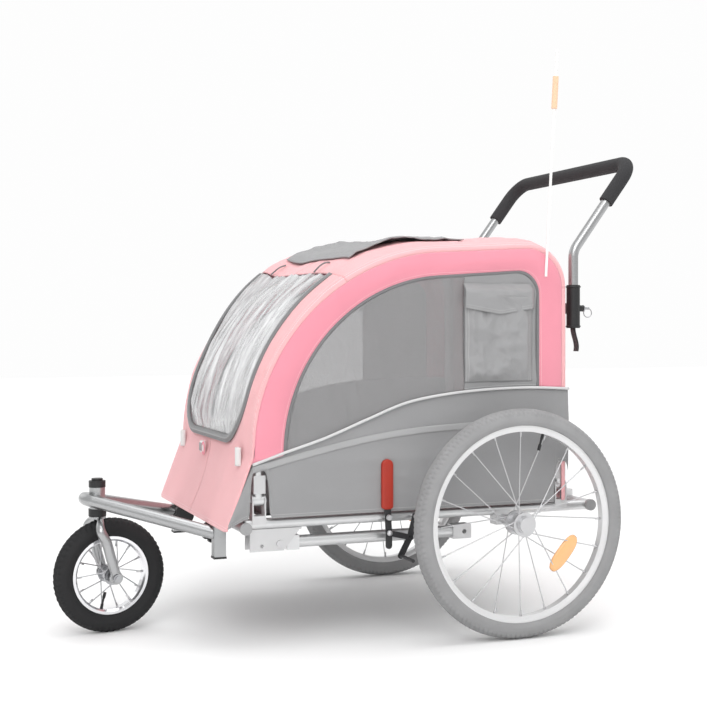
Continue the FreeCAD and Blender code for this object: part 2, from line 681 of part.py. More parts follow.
def flag():
    start = Vector(val("flag_half"), val("flag_foot_aft"), val("flag_foot"))
    end = Vector(val("flag_half") + 3.0, val("flag_top_aft"), val("flag_top"))
    run = end - start
    pole = doc.addObject("Part::Cylinder", "pole")
    bind(pole, "Radius", "pole_rad")
    pole.Height = run.Length
    along = Rotation(Vector(0, 0, 1), run)
    pole.Placement = Placement(start + Vector(9, 0, 0), along)
    finish("flag_pole", pole)
    sleeve = doc.addObject("Part::Cylinder", "sleeve")
    bind(sleeve, "Radius", 6.5)
    sleeve.Height = 70.0
    sleeve.Placement = Placement(start + Vector(9, 0, 0) + run * 0.74, along)
    core = doc.addObject("Part::Cylinder", "core")
    bind(core, "Radius", "pole_rad")
    core.Height = 70.0
    core.Placement = sleeve.Placement
    finish("flag_sleeve", cut(sleeve, core))


def handle_straps():
    """Short webbing tails below the sockets."""
    tail = box(("handle_half - 10", "handle_half + 10"), ("handle_aft - 1", "handle_aft + 1.5"),
               ("socket_low - 52", "socket_low"))
    finish("handle_straps", both(tail))


# ---------------------------------------------------------------- front arm and fork

def post_square(size, low, high):
    """Upright square bar about the axis of the left arm post."""
    return box(("arm_post_half - %s" % size, "arm_post_half + %s" % size),
               ("-arm_post_fore - %s" % size, "-arm_post_fore + %s" % size), (low, high))


def front_arm():
    """Bent tube that runs straight from each post up to its nose round the head tube."""
    half = val("arm_post_half")
    nose = val("arm_nose_half")
    low = (-val("arm_post_fore") + 6, val("arm_join_height"))
    top = (-val("arm_nose_fore"), val("arm_height"))
    points = [(half, *low), (nose, *top), (-nose, *top), (-half, *low)]
    wire = fillet_wire(points, [val("arm_nose_rad")] * 2)
    posts = box(("-arm_post_half - 40", "arm_post_half + 40"), ("-arm_post_fore - post_half_side",
                                                                -500.0),
                (100.0, 320.0))
    head = rod("Z", "head_rad", ("head_low", "head_high"), (0.0, "-head_fore"))
    finish("arm_tube", cut(cut(cut(swept(wire, "arm_rad"), swept(wire, "arm_rad - tube_wall")), posts),
                           head))
    bore = rod("Z", "steerer_rad + 1", ("head_low", "head_high"), (0.0, "-head_fore"))
    finish("head_tube", cut(head, bore))
    sleeve = cut(post_square("post_half_side", "arm_post_low", "arm_post_high"),
                 post_square("post_bore_half", "arm_post_low - 1", "arm_post_high + 1"))
    boss = rod("X", "post_screw_head", ("arm_post_half - 19", "arm_post_half - 11"),
               ("-arm_post_fore", "arm_join_height"))
    screw_hole = rod("X", "brake_pin_rad + running_gap", ("arm_post_half - 19", "arm_post_half"),
                     ("-arm_post_fore", "arm_join_height"))
    finish("arm_posts", both(cut(fuse(sleeve, boss), screw_hole)))
    plug = post_square("post_bore_half", "arm_post_low", "arm_post_low + 4")
    plate = post_square("post_cap_half", "arm_post_low - 4", "arm_post_low")
    top_cap = rod("Z", "head_rad + 1", ("head_high", "head_high + 14"), (0.0, "-head_fore"))
    top_dome = rod("Z", "head_rad - 5", ("head_high + 14", "head_high + 19"), (0.0, "-head_fore"))
    cup = cut(rod("Z", "head_rad + 2", ("head_low - 16", "head_low"), (0.0, "-head_fore")),
              rod("Z", "steerer_rad + 1", ("head_low - 16", "head_low"), (0.0, "-head_fore")))
    finish("arm_caps", group(both(fuse(plug, plate)), fuse(top_cap, top_dome), cup))


def knobs():
    """Star knob with a screw: a disc whose rim is scalloped by a polar pattern."""
    body = new_body("knob")
    outline = sketch(body, "YZ_Plane")
    sketch_circle(outline, "knob_rad")
    pad(body, outline, "knob_outer - knob_inner")
    notch = sketch(body, "YZ_Plane")
    sketch_circle(notch, "scallop_rad", (0.0, "scallop_ring"))
    scallop = body.newObject("PartDesign::Pocket", "scallop")
    scallop.Profile = notch
    scallop.Type = "ThroughAll"
    scallop.Midplane = True
    scallops = body.newObject("PartDesign::PolarPattern", "scallops")
    scallops.Originals = [scallop]
    scallops.Axis = (notch, ["N_Axis"])
    scallops.Angle = 360.0
    scallops.Occurrences = int(val("knob_lobes"))
    body.Tip = scallops
    shank = sketch(body, "YZ_Plane")
    sketch_circle(shank, "brake_pin_rad")
    body.Tip = pad(body, shank, "arm_post_half - 9.2 - knob_inner")
    left = place(body, ("knob_inner", "-arm_post_fore", "arm_join_height"))
    finish("knob_left", group(left))
    finish("knob_right", mirror(left))


STEER = Placement(Vector(0, 0, 0), Rotation(Vector(0, 0, 1), val("steer_angle")),
                  Vector(0, -val("head_fore"), 0))


def axle_y():
    return -val("head_fore") + val("trail")


def fork():
    """Steerer and crown with two curved, tapered legs."""
    steerer = rod("Z", "steerer_rad", ("crown_height", "head_high - 2"), (0.0, "-head_fore"))
    crown = rod("Z", "head_rad + 1", ("crown_height - 2", "head_low - 17"), (0.0, "-head_fore"))
    half = val("fork_half")
    head = -val("head_fore")
    drop = val("front_wheel_rad")
    stations = [(14, head, val("crown_height") - 3.5, 6.0), (34, head - 5, val("crown_height") - 12, 8.5),
                (half, head - 7, val("crown_height") - 25, 10.5), (half, head + 3, 205.0, 11.0),
                (half, head + 14, 168.0, 11.0), (half, head + 21, 145.0, 10.5), (half, axle_y(), drop - 8,
                                                                                 10.0)]
    rings = []
    for index, (x, y, z, radius) in enumerate(stations):
        before = stations[max(index - 1, 0)]
        after = stations[min(index + 1, len(stations) - 1)]
        along = Vector(*[b - a for a, b in zip(before[:3], after[:3])])
        rings.append(Part.Wire(Part.makeCircle(radius, Vector(x, y, z), along)))
    leg = shape(Part.makeLoft(rings, True))
    tip = rod("X", 14.0, ("fork_half - 3", "fork_half + 3"), (axle_y(), drop))
    bore = rod("X", "front_axle_rad", ("fork_half - 12", "fork_half + 12"), (axle_y(), drop))
    outer_face = rod("X", 11.0, ("fork_half + 3", "fork_half + 20"), (axle_y(), drop))
    inner_face = rod("X", 14.0, ("fork_half - 20", "fork_half - 3"), (axle_y(), drop))
    side = cut(fuse(leg, tip), fuse(bore, outer_face, inner_face))
    finish("fork", fuse(steerer, crown, side, mirror(side)), STEER)
    shaft = rod("X", "front_axle_rad", ("-fork_half - 12", "fork_half + 12"), (axle_y(), drop))
    nuts = [rod("X", 8.5, ("fork_half + 3", "fork_half + 9"), (axle_y(), drop)),
            rod("X", 8.5, ("-fork_half - 9", "-fork_half - 3"), (axle_y(), drop))]
    finish("front_axle", fuse(shaft, *nuts), STEER)


# ---------------------------------------------------------------- wheels

def tyre(centre, outer, half, rim):
    """Round section about the wheel's axis, opened inside for the rim."""
    ring = doc.addObject("Part::Torus", "tyre")
    bind(ring, "Radius1", "%s - %s" % (outer, half))
    bind(ring, "Radius2", half)
    place(ring, centre, TURNS["X"])
    seat = rod("X", "%s + 0.1" % rim, ("%s - 40" % centre[0], "%s + 40" % centre[0]), centre[1:])
    return cut(ring, seat)


def rim(centre, outer, depth, half):
    """Turned ring: tapered spoke bed, side walls and a shallow well for the tyre."""
    bed = "%s - %s" % (outer, depth)
    return turned("rim", [("-%s" % half, outer), ("-%s" % half, "%s - 6" % outer), ("-%s + 4" % half,
                                                                                    bed),
                          ("%s - 4" % half, bed), (half, "%s - 6" % outer), (half, outer),
                          ("%s - 3" % half, outer), ("%s - 3" % half, "%s - 4" % outer),
                          ("-%s + 3" % half, "%s - 4" % outer), ("-%s + 3" % half, outer)], centre)


def hub(centre, radius, half, flange, bore, capped):
    """Turned hub with two flanges; a capped hub has a dust cover past its outer end."""
    low, high = "-%s" % half, half
    points = [(low, bore), (low, radius), (low + " + 3", radius), (low + " + 3", flange), (low + " + 7",
                                                                                           flange),
              (low + " + 7", radius), (high + " - 7", radius), (high + " - 7", flange), (high + " - 3",
                                                                                         flange),
              (high + " - 3", radius), (high, radius)]
    if capped:
        skirt, wall, cover = "%s - 1" % radius, "%s - 6" % radius, "%s - 3" % radius
        points += [(high, skirt), (high + " + 3", skirt), (high + " + 3", cover), (high + " + 7", cover),
                   (high + " + 7", 0.0), (high + " + 3", 0.0), (high + " + 3", wall), (high, wall)]
    return turned("hub", points + [(high, bore)], centre)


def spokes(centre, hub_rad, hub_half, rim_rad, count):
    """Straight spokes laced tangentially from alternate flanges to the rim."""
    x, y, z = [val(c) for c in centre]
    made = []
    for index in range(count):
        side = 1 if index % 2 else -1
        rim_angle = 2 * math.pi * index / count
        lean = math.radians(38.0) * (1 if index % 4 < 2 else -1)
        foot = Vector(x + side * (hub_half - 5), y + hub_rad * math.cos(rim_angle + lean),
                      z + hub_rad * math.sin(rim_angle + lean))
        tip = Vector(x + side * 2, y + rim_rad * math.cos(rim_angle), z + rim_rad * math.sin(rim_angle))
        run = tip - foot
        spoke = doc.addObject("Part::Cylinder", "spoke")
        bind(spoke, "Radius", "spoke_rad")
        spoke.Height = run.Length
        spoke.Placement = Placement(foot, Rotation(Vector(0, 0, 1), run))
        made.append(spoke)
    return made


REFLECTOR = {"centre": (100.5, 175.0), "half_length": 46.0, "half_width": 11.0, "depth": 7.0,
             "slope": 49.9}


def reflector():
    """Spoke reflector, lying along the slope of the spokes that hold it."""
    plate = doc.addObject("Part::Box", "plate")
    plate.Length = REFLECTOR["depth"]
    plate.Width = 2 * REFLECTOR["half_length"]
    plate.Height = 2 * REFLECTOR["half_width"]
    turn = Rotation(Vector(1, 0, 0), REFLECTOR["slope"])
    middle = Vector(val("rear_track_half + 3"), *REFLECTOR["centre"])
    corner = turn.multVec(Vector(0, REFLECTOR["half_length"], REFLECTOR["half_width"]))
    plate.Placement = Placement(middle - corner, turn)
    return plate


def rear_wheels():
    centre = ("rear_track_half", 0.0, "rear_wheel_rad")
    rear_tyre = tyre(centre, "rear_wheel_rad", "rear_tyre_half", "rear_rim_rad")
    rear_rim = rim(centre, "rear_rim_rad", "rear_rim_depth", "rear_rim_half")
    rear_hub = hub(centre, "rear_hub_rad", "rear_hub_half", "rear_flange_rad",
                   "rear_axle_rad + running_gap", True)
    strings = spokes(centre, val("rear_flange_rad") - 4, val("rear_hub_half"),
                     val("rear_rim_rad - rear_rim_depth"), int(val("rear_spokes")))
    laced = cut(cut(group(*strings), rear_hub), rear_rim)
    plate = cut(reflector(), laced)
    for side, flip in (("left", lambda piece: group(piece)), ("right", mirror)):
        finish("rear_tyre_" + side, flip(rear_tyre))
        finish("rear_rim_" + side, flip(rear_rim))
        finish("rear_spokes_" + side, flip(laced))
        finish("rear_hub_" + side, flip(rear_hub))
        finish("reflector_" + side, flip(plate))


def front_wheel():
    centre = (0.0, axle_y(), "front_wheel_rad")
    ring = rim(centre, "front_rim_rad", "front_rim_depth", "front_rim_half")
    middle = hub(centre, "front_hub_rad", "front_hub_half", "front_flange_rad",
                 "front_axle_rad + running_gap", False)
    strings = spokes(centre, val("front_flange_rad") - 3, val("front_hub_half"),
                     val("front_rim_rad - front_rim_depth"), int(val("front_spokes")))
    finish("front_tyre", tyre(centre, "front_wheel_rad", "front_tyre_half", "front_rim_rad"), STEER)
    finish("front_spokes", cut(cut(group(*strings), middle), ring), STEER)
    finish("front_rim", ring, STEER)
    finish("front_hub", middle, STEER)


# ---------------------------------------------------------------- tow bar and brake

def tow_bar():
    """Channel below the rail, and the bar that folds forward out of it to a bicycle."""
    channel = box(("tow_half - tow_cheek_gap_half - tow_cheek",
                   "tow_half + tow_cheek_gap_half + tow_cheek"),
                  ("-tow_front", "-tow_back"), ("tow_low", "rail_height - tube_rad"))
    slot = box(("tow_half - tow_cheek_gap_half", "tow_half + tow_cheek_gap_half"), (-600.0, -430.0),
               ("tow_low - 1", "tow_web"))
    bore = rod("X", "tow_bolt_rad", ("tow_half - 30", "tow_half + 30"), ("-tow_pivot_fore",
                                                                         "tow_pivot_height"))
    lock = rod("X", "tow_bolt_rad", ("tow_half - 30", "tow_half + 30"), ("-tow_lock_fore",
                                                                         "tow_lock_height"))
    corner_points = [(-val("tow_back") + 1, val("tow_low") - 1), (-val("tow_back") + 1, val("tow_web")),
                     (-val("tow_back") - 4, val("tow_web")), (-val("tow_pivot_fore") + 8,
                                                              val("tow_low") - 1)]
    sides = zip(corner_points, corner_points[1:] + corner_points[:1])
    corner = extruded(Part.Wire([Part.LineSegment(yz(*a), yz(*b)).toShape() for a, b in sides]),
                      "tow_half - 30", "tow_half + 30")
    finish("tow_bracket", cut(cut(cut(cut(channel, slot), bore), lock), corner))
    lug = rod("X", "tow_rad", ("tow_half - tow_rad", "tow_half + tow_rad"), ("-tow_pivot_fore",
                                                                             "tow_pivot_height"))
    solid = box(("tow_half - 8", "tow_half + 8"), ("-tow_pivot_fore", "-tow_pivot_fore + 50"),
                ("tow_pivot_height - 9", "tow_pivot_height + 9"))
    block = box(("tow_half - 14", "tow_half + 14"), ("-tow_pivot_fore + 18", "-tow_pivot_fore + 44"),
                ("tow_pivot_height - 15", "tow_pivot_height + 15"))
    tube = pipe("Y", "tow_rad", ("-tow_pivot_fore + 44", "-tow_end_fore"), ("tow_half",
                                                                            "tow_pivot_height"))
    hole = rod("X", "tow_bolt_rad + running_gap", ("tow_half - 30", "tow_half + 30"),
               ("-tow_pivot_fore", "tow_pivot_height"))
    finish("tow_tube", cut(fuse(lug, solid, block, tube), hole))
    tow_coupler()


def tow_coupler():
    """Rounded block at the bar's end with the hole for the hitch pin."""
    body = new_body("coupler")
    made = sketch(body, "YZ_Plane")
    sketch_outline(made, [(0.0, "-coupler_half"), ("coupler_length", "-coupler_half"),
                          ("coupler_length", "coupler_half"), (0.0, "coupler_half")])
    sketch_circle(made, "coupler_hole_rad", ("coupler_hole_aft", 0.0))
    block = pad(body, made, "2*coupler_half")
    doc.recompute()
    length = val("coupler_length")
    far = ["Edge%d" % (index + 1) for index, edge in enumerate(block.Shape.Edges)
           if len(edge.Vertexes) == 2 and min(vertex.Point.y for vertex in edge.Vertexes) > length - 0.01]
    rounded = body.newObject("PartDesign::Fillet", "round")
    rounded.Base = (block, far)
    bind(rounded, "Radius", "coupler_round")
    finish("tow_coupler", place(body, ("tow_half - coupler_half", "-tow_end_fore", "tow_pivot_height")))


def plate_bar(points, low, high, radius):
    """Flat bar through points in a plane across X, with round ends and corners."""
    pieces = []
    for y, z in points:
        pieces.append(rod("X", radius, (low, high), (y, z)))
    for (y_one, z_one), (y_two, z_two) in zip(points, points[1:]):
        start = yz(val(y_one), val(z_one))
        end = yz(val(y_two), val(z_two))
        run = end - start
        obj = doc.addObject("Part::Box", "bar")
        obj.Length = val(high) - val(low)
        obj.Width = run.Length
        bind(obj, "Height", 2.0 * radius)
        turn = Rotation(Vector(1, 0, 0), math.degrees(math.atan2(run.z, run.y)))
        corner = Vector(val(low), 0, 0) + start - turn.multVec(Vector(0, 0, radius))
        obj.Placement = Placement(corner, turn)
        pieces.append(obj)
    return fuse(*pieces)


def brake():
    near = ("brake_plane + 0.5", "brake_plane + 3.5")
    far = ("brake_plane + 4.5", "brake_plane + 7.5")
    lever_pivot = ("-lever_fore", "lever_height")
    arm_pivot = ("-arm_fore", "arm_pivot_height")
    link_front = ("-link_fore", "link_height")
    link_rear = ("-link_aft", "link_aft_height")
    tail = ("-link_fore", "link_height - lever_tail")
    bar = plate_bar([("-lever_fore - 2", "lever_height + 62"), lever_pivot, link_front, tail], near[0],
                    near[1], 7.0)
    stud = rod("X", "brake_pin_rad", ("brake_plane + 2", "brake_plane + 9"), link_front)
    hole = rod("X", "brake_pin_rad + running_gap", ("brake_plane - 5", "brake_plane + 20"), lever_pivot)
    finish("brake_lever", fuse(cut(bar, hole), stud))
    grip = box(("brake_plane - 3", "brake_plane + 9"), ("-lever_fore - 15", "-lever_fore + 11"),
               ("lever_height + 17", "lever_height + 122"))
    tang = plate_bar([("-lever_fore - 2", "lever_height + 62"), lever_pivot], near[0], near[1], 7.0)
    finish("brake_grip", cut(grip, tang))
    link = plate_bar([link_front, link_rear], far[0], far[1], 6.0)
    front_eye = rod("X", "brake_pin_rad + running_gap", ("brake_plane", "brake_plane + 20"), link_front)
    slack_eye = rod("X", "brake_pin_rad + 1.2", ("brake_plane", "brake_plane + 20"), link_rear)
    finish("brake_link", cut(cut(link, front_eye), slack_eye))
    rod_place = ("-brake_rod_fore", "brake_rod_height")
    arm = plate_bar([arm_pivot, link_rear, rod_place], near[0], near[1], 6.5)
    arm_hole = rod("X", "brake_pin_rad + running_gap", ("brake_plane - 5", "brake_plane + 20"), arm_pivot)
    link_stud = rod("X", "brake_pin_rad", ("brake_plane + 2", "brake_plane + 9"), link_rear)
    rod_bar = rod("X", "brake_rod_rad", ("brake_plane + 2", "brake_rod_end"), rod_place)
    finish("brake_arm", fuse(cut(arm, arm_hole), link_stud, rod_bar))


base_frame()
crossbar_caps()
rail_brackets()
frame_bolts()
axle_carriers()
rear_axles()
arm_pegs()
floor()
front_and_door()
roof_and_rear()
side_skirts()
side_frames()
rear_posts()
handle_sockets()
pull_pins()
handlebar()
flag()
handle_straps()
front_arm()
knobs()
fork()
rear_wheels()
front_wheel()
tow_bar()
brake()

doc.recompute()
for obj in doc.Objects:
    if "Invalid" in obj.State or "Error" in obj.State:
        raise RuntimeError("%s (%s) failed: %s" % (obj.Name, obj.Label, obj.State))
for node in NODES:
    if node.Shape.isNull() or not node.Shape.isValid() or not node.Shape.Solids:
        raise RuntimeError("%s has no valid solid" % node.Label)

os.makedirs("parts", exist_ok=True)
for node in NODES:
    node.Shape.exportStep("parts/%s.step" % node.Label)
whole = FreeCAD.BoundBox()
for node in NODES:
    whole.add(node.Shape.BoundBox)
print(len(NODES), "nodes", [round(v, 1) for v in (whole.XMin, whole.XMax, whole.YMin, whole.YMax,
                                                  whole.ZMin,
                                                 whole.ZMax)])
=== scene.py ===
import json
import math

import bmesh
import bpy
import numpy as np
from mathutils import Matrix, Vector
from mathutils.kdtree import KDTree


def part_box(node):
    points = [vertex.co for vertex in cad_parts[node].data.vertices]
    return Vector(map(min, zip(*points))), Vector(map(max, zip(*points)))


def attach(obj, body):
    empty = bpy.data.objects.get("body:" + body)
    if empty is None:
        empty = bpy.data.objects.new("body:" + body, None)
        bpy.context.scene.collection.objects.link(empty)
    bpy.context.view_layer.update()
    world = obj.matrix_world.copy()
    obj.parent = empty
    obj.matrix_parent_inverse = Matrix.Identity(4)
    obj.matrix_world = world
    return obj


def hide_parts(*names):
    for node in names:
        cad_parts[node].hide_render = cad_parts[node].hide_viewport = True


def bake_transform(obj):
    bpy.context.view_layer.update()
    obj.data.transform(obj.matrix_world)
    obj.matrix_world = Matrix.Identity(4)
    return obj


# Pet stroller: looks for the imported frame. Metres, +Z up, front towards -Y, left side at +X.

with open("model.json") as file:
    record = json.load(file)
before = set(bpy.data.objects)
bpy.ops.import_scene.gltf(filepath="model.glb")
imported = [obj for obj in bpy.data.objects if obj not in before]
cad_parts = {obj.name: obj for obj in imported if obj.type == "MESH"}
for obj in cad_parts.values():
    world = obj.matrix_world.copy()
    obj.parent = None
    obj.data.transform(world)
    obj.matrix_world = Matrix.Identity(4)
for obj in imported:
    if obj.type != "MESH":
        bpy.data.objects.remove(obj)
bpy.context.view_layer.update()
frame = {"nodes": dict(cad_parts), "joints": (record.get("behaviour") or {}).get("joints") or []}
NODES = frame["nodes"]


def centre(node):
    low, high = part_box(node)
    return (Vector(low) + Vector(high)) / 2


AXLE = centre("rear_hub_left")
AXLE_Y = AXLE.y


# ------------------------------------------------------------------ cabin geometry
# Side outline of the cabin in the rear axle's frame (y from the axle, z from the ground).

SKIRT_FOOT = (-0.623, 0.249)
FRONT_ARC = (-0.132, 0.400)
FRONT_RAD = 0.434
REAR_ARC = (0.060, 0.745)
REAR_RAD = 0.100
REAR_LOW = 0.276
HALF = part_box("roof_panel")[1][0]
ROLL_LOW = 0.005
ROLL_HIGH = 0.0155
ROLL_START = HALF - ROLL_HIGH


def outline_table():
    """Samples of the side outline, front to rear: length, y, z and outward normal."""
    rise = math.atan2(REAR_ARC[1] - FRONT_ARC[1], REAR_ARC[0] - FRONT_ARC[0])
    spacing = math.hypot(REAR_ARC[0] - FRONT_ARC[0], REAR_ARC[1] - FRONT_ARC[1])
    roof_angle = rise + math.acos((FRONT_RAD - REAR_RAD) / spacing)
    knee = (FRONT_ARC[0] - FRONT_RAD, FRONT_ARC[1])
    rows = []
    for step in np.linspace(0, 1, 30, endpoint=False):
        point = [a + (b - a) * step for a, b in zip(SKIRT_FOOT, knee)]
        rows.append((*point, -1.0 + 0.03 * (1 - step), -0.24 * (1 - step)))
    for angle in np.linspace(math.pi, roof_angle, 160):
        rows.append((FRONT_ARC[0] + FRONT_RAD * math.cos(angle),
                     FRONT_ARC[1] + FRONT_RAD * math.sin(angle),
                     math.cos(angle), math.sin(angle)))
    for angle in np.linspace(roof_angle, 0, 80):
        rows.append((REAR_ARC[0] + REAR_RAD * math.cos(angle), REAR_ARC[1] + REAR_RAD * math.sin(angle),
                     math.cos(angle), math.sin(angle)))
    rows.append((REAR_ARC[0] + REAR_RAD, REAR_LOW, 1.0, 0.0))
    table = np.array(rows)
    steps = np.linalg.norm(np.diff(table[:, :2], axis=0), axis=1)
    return np.concatenate([[0], np.cumsum(steps)]), table


LENGTHS, TABLE = outline_table()
S_KNEE = float(np.interp(FRONT_ARC[1], TABLE[:31, 1], LENGTHS[:31]))
S_DOOR_TOP = S_KNEE + FRONT_RAD * math.radians(180 - 123)
S_REAR_TOP = float(LENGTHS[-2])
S_END = float(LENGTHS[-1])
S_DOOR_LOW = S_KNEE + 0.018
DOOR_HALF = 0.242
DOOR_CORNER = 0.105


def outline(s):
    """y, z and outward normal on the side outline at length s."""
    return [np.interp(s, LENGTHS, TABLE[:, column]) for column in range(4)]


def smoothstep(low, high, value):
    t = np.clip((np.asarray(value, float) - low) / (high - low), 0, 1)
    return t * t * (3 - 2 * t)


def noise(u, v, seed):
    """Smooth seeded noise from 0 to 1 with a feature size of one."""
    lattice = np.random.RandomState(seed).rand(64, 64)
    u, v = np.broadcast_arrays(np.asarray(u, float), np.asarray(v, float))
    u0, v0 = np.floor(u).astype(int), np.floor(v).astype(int)
    fu, fv = u - u0, v - v0
    fu, fv = fu * fu * (3 - 2 * fu), fv * fv * (3 - 2 * fv)
    a = lattice[u0 % 64, v0 % 64]
    b = lattice[(u0 + 1) % 64, v0 % 64]
    c = lattice[u0 % 64, (v0 + 1) % 64]
    d = lattice[(u0 + 1) % 64, (v0 + 1) % 64]
    return (a * (1 - fu) + b * fu) * (1 - fv) + (c * (1 - fu) + d * fu) * fv


def crumple(u, v, seed):
    """Signed wrinkle height, about -1 to 1, with sharper ridges than noise."""
    first = 1 - 2 * np.abs(2 * noise(u, v, seed) - 1)
    second = 1 - 2 * np.abs(2 * noise(u * 2.3 + 7, v * 2.3 + 3, seed + 1) - 1)
    return 0.7 * first + 0.3 * second


def roll(s):
    """Radius of the cover's rolled edge: tight at the front, fuller over the roof."""
    return ROLL_LOW + (ROLL_HIGH - ROLL_LOW) * smoothstep(S_KNEE + 0.05, S_DOOR_TOP + 0.10, s)


def crown(s, x):
    """How far the stretched cover stands out of the side outline."""
    across = 1 - np.clip(np.abs(x) / ROLL_START, 0, 1) ** 4
    front = smoothstep(0.02, 0.22, s) * (1 - smoothstep(S_REAR_TOP - 0.10, S_REAR_TOP, s))
    puff = 0.013 * across * front
    roof = smoothstep(S_DOOR_TOP - 0.25, S_DOOR_TOP + 0.05, s) * (1 - smoothstep(S_REAR_TOP - 0.22,
                                                                                 S_REAR_TOP, s))
    sleeve = np.exp(-((x + 0.215) / 0.06) ** 2)
    return puff + roof * (0.024 * sleeve + 0.004 * across)


def shell(s, x, lift=0.0):
    """Point on the cover at outline length s and across at x, in the row frame."""
    y, z, ny, nz = outline(s)
    edge = roll(s)
    over = np.clip(np.abs(x) - (HALF - edge), 0, edge)
    drop = edge - np.sqrt(np.maximum(edge ** 2 - over ** 2, 0))
    out = crown(s, x) + lift - drop
    return np.stack([np.broadcast_to(x, np.shape(out)), y + ny * out + AXLE_Y, z + nz * out], axis=-1)


# ------------------------------------------------------------------ mesh helpers

def link(name, mesh):
    obj = bpy.data.objects.new(name, mesh)
    bpy.context.scene.collection.objects.link(obj)
    return obj


def build(name, vertices, faces, material, uv=None, seam=None, smooth=True):
    mesh = bpy.data.meshes.new(name)
    mesh.from_pydata([tuple(map(float, v)) for v in vertices], [], [tuple(map(int, f)) for f in faces])
    for layer, values in (("weave", uv), ("seam", seam)):
        if values is None:
            continue
        data = mesh.uv_layers.new(name=layer).data
        loops = np.empty(len(mesh.loops), dtype=np.int64)
        mesh.loops.foreach_get("vertex_index", loops)
        data.foreach_set("uv", np.asarray(values, np.float32)[loops].ravel())
    mesh.materials.append(material)
    mesh.polygons.foreach_set("use_smooth", [smooth] * len(mesh.polygons))
    mesh.update()
    return link(name, mesh)


def grid_normals(points):
    du = np.gradient(points, axis=0)
    dv = np.gradient(points, axis=1)
    normal = np.cross(du, dv)
    return normal / np.maximum(np.linalg.norm(normal, axis=2, keepdims=True), 1e-9)


def cloth(name, points, material, uv, seam=None, thickness=0.0016, flip=False):
    """Closed thin sheet from a grid of outer points; its thickness goes inwards."""
    rows, columns = points.shape[:2]
    inward = grid_normals(points) * (thickness if flip else -thickness)
    top = points.reshape(-1, 3)
    bottom = (points + inward).reshape(-1, 3)
    count = rows * columns
    index = np.arange(count).reshape(rows, columns)
    a, b = index[:-1, :-1].ravel(), index[1:, :-1].ravel()
    c, d = index[1:, 1:].ravel(), index[:-1, 1:].ravel()
    quads = np.stack([a, b, c, d], 1)
    faces = [quads, quads[:, ::-1] + count]
    rim = np.concatenate([index[0, :], index[1:, -1], index[-1, -2::-1], index[-2:0:-1, 0]])
    after = np.roll(rim, -1)
    faces.append(np.stack([rim, after, after + count, rim + count], 1))
    faces = np.concatenate(faces)
    if flip:
        faces = faces[:, ::-1]
    weave = np.concatenate([uv.reshape(-1, 2)] * 2)
    seams = None if seam is None else np.concatenate([seam.reshape(-1, 2)] * 2)
    sheet = build(name, np.concatenate([top, bottom]), faces, material, weave, seams)
    smooth = [True] * (len(faces) - len(rim)) + [False] * len(rim)
    sheet.data.polygons.foreach_set("use_smooth", smooth)
    return sheet


def tube(name, path, radius, material, sides=10, closed=False):
    """Round bar along points, with flat caps; radius may vary along it."""
    path = np.asarray(path, float)
    count = len(path)
    radii = np.broadcast_to(radius, (count,))
    if closed:
        tangent = np.roll(path, -1, 0) - np.roll(path, 1, 0)
    else:
        tangent = np.gradient(path, axis=0)
    tangent /= np.linalg.norm(tangent, axis=1, keepdims=True)
    side = np.cross(tangent[0], (0, 0, 1.0) if abs(tangent[0][2]) < 0.9 else (1.0, 0, 0))
    rings = []
    for k in range(count):
        side = side - tangent[k] * np.dot(side, tangent[k])
        side /= np.linalg.norm(side)
        up = np.cross(tangent[k], side)
        angles = np.arange(sides) * 2 * math.pi / sides
        rings.append(path[k] + radii[k] * (np.outer(np.cos(angles), side) + np.outer(np.sin(angles), up)))
    vertices = np.concatenate(rings)
    faces = []
    for k in range(count if closed else count - 1):
        base, nxt = k * sides, ((k + 1) % count) * sides
        for j in range(sides):
            faces.append((base + j, base + (j + 1) % sides, nxt + (j + 1) % sides, nxt + j))
    if not closed:
        faces.append(tuple(range(sides))[::-1])
        faces.append(tuple(range((count - 1) * sides, count * sides)))
    mesh = bpy.data.meshes.new(name)
    mesh.from_pydata([tuple(v) for v in vertices], [], faces)
    mesh.materials.append(material)
    mesh.polygons.foreach_set("use_smooth", [True] * len(mesh.polygons))
    mesh.update()
    return link(name, mesh)


def curve_points(points, count=60):
    """Smooth line through a few given points."""
    points = np.asarray(points, float)
    steps = np.concatenate([[0], np.cumsum(np.linalg.norm(np.diff(points, axis=0), axis=1))])
    steps /= steps[-1]
    t = np.linspace(0, 1, count)
    slopes = np.gradient(points, steps, axis=0)
    k = np.clip(np.searchsorted(steps, t, side="right") - 1, 0, len(points) - 2)
    width = steps[k + 1] - steps[k]
    f = ((t - steps[k]) / width)[:, None]
    w = width[:, None]
    return ((1 + 2 * f) * (1 - f) ** 2 * points[k] + f * (1 - f) ** 2 * w * slopes[k]
            + f ** 2 * (3 - 2 * f) * points[k + 1] + f ** 2 * (f - 1) * w * slopes[k + 1])


def join(name, pieces):
    """One object from several meshes that ride together."""
    merged = bmesh.new()
    materials = []
    for piece in pieces:
        start = len(merged.faces)
        merged.from_mesh(piece.data)
        merged.faces.ensure_lookup_table()
        if piece.data.materials[0] not in materials:
            materials.append(piece.data.materials[0])
        number = materials.index(piece.data.materials[0])
        for face in merged.faces[start:]:
            face.material_index = number
    mesh = bpy.data.meshes.new(name)
    merged.to_mesh(mesh)
    merged.free()
    for material in materials:
        mesh.materials.append(material)
    for piece in pieces:
        bpy.data.objects.remove(piece)
    return link(name, mesh)


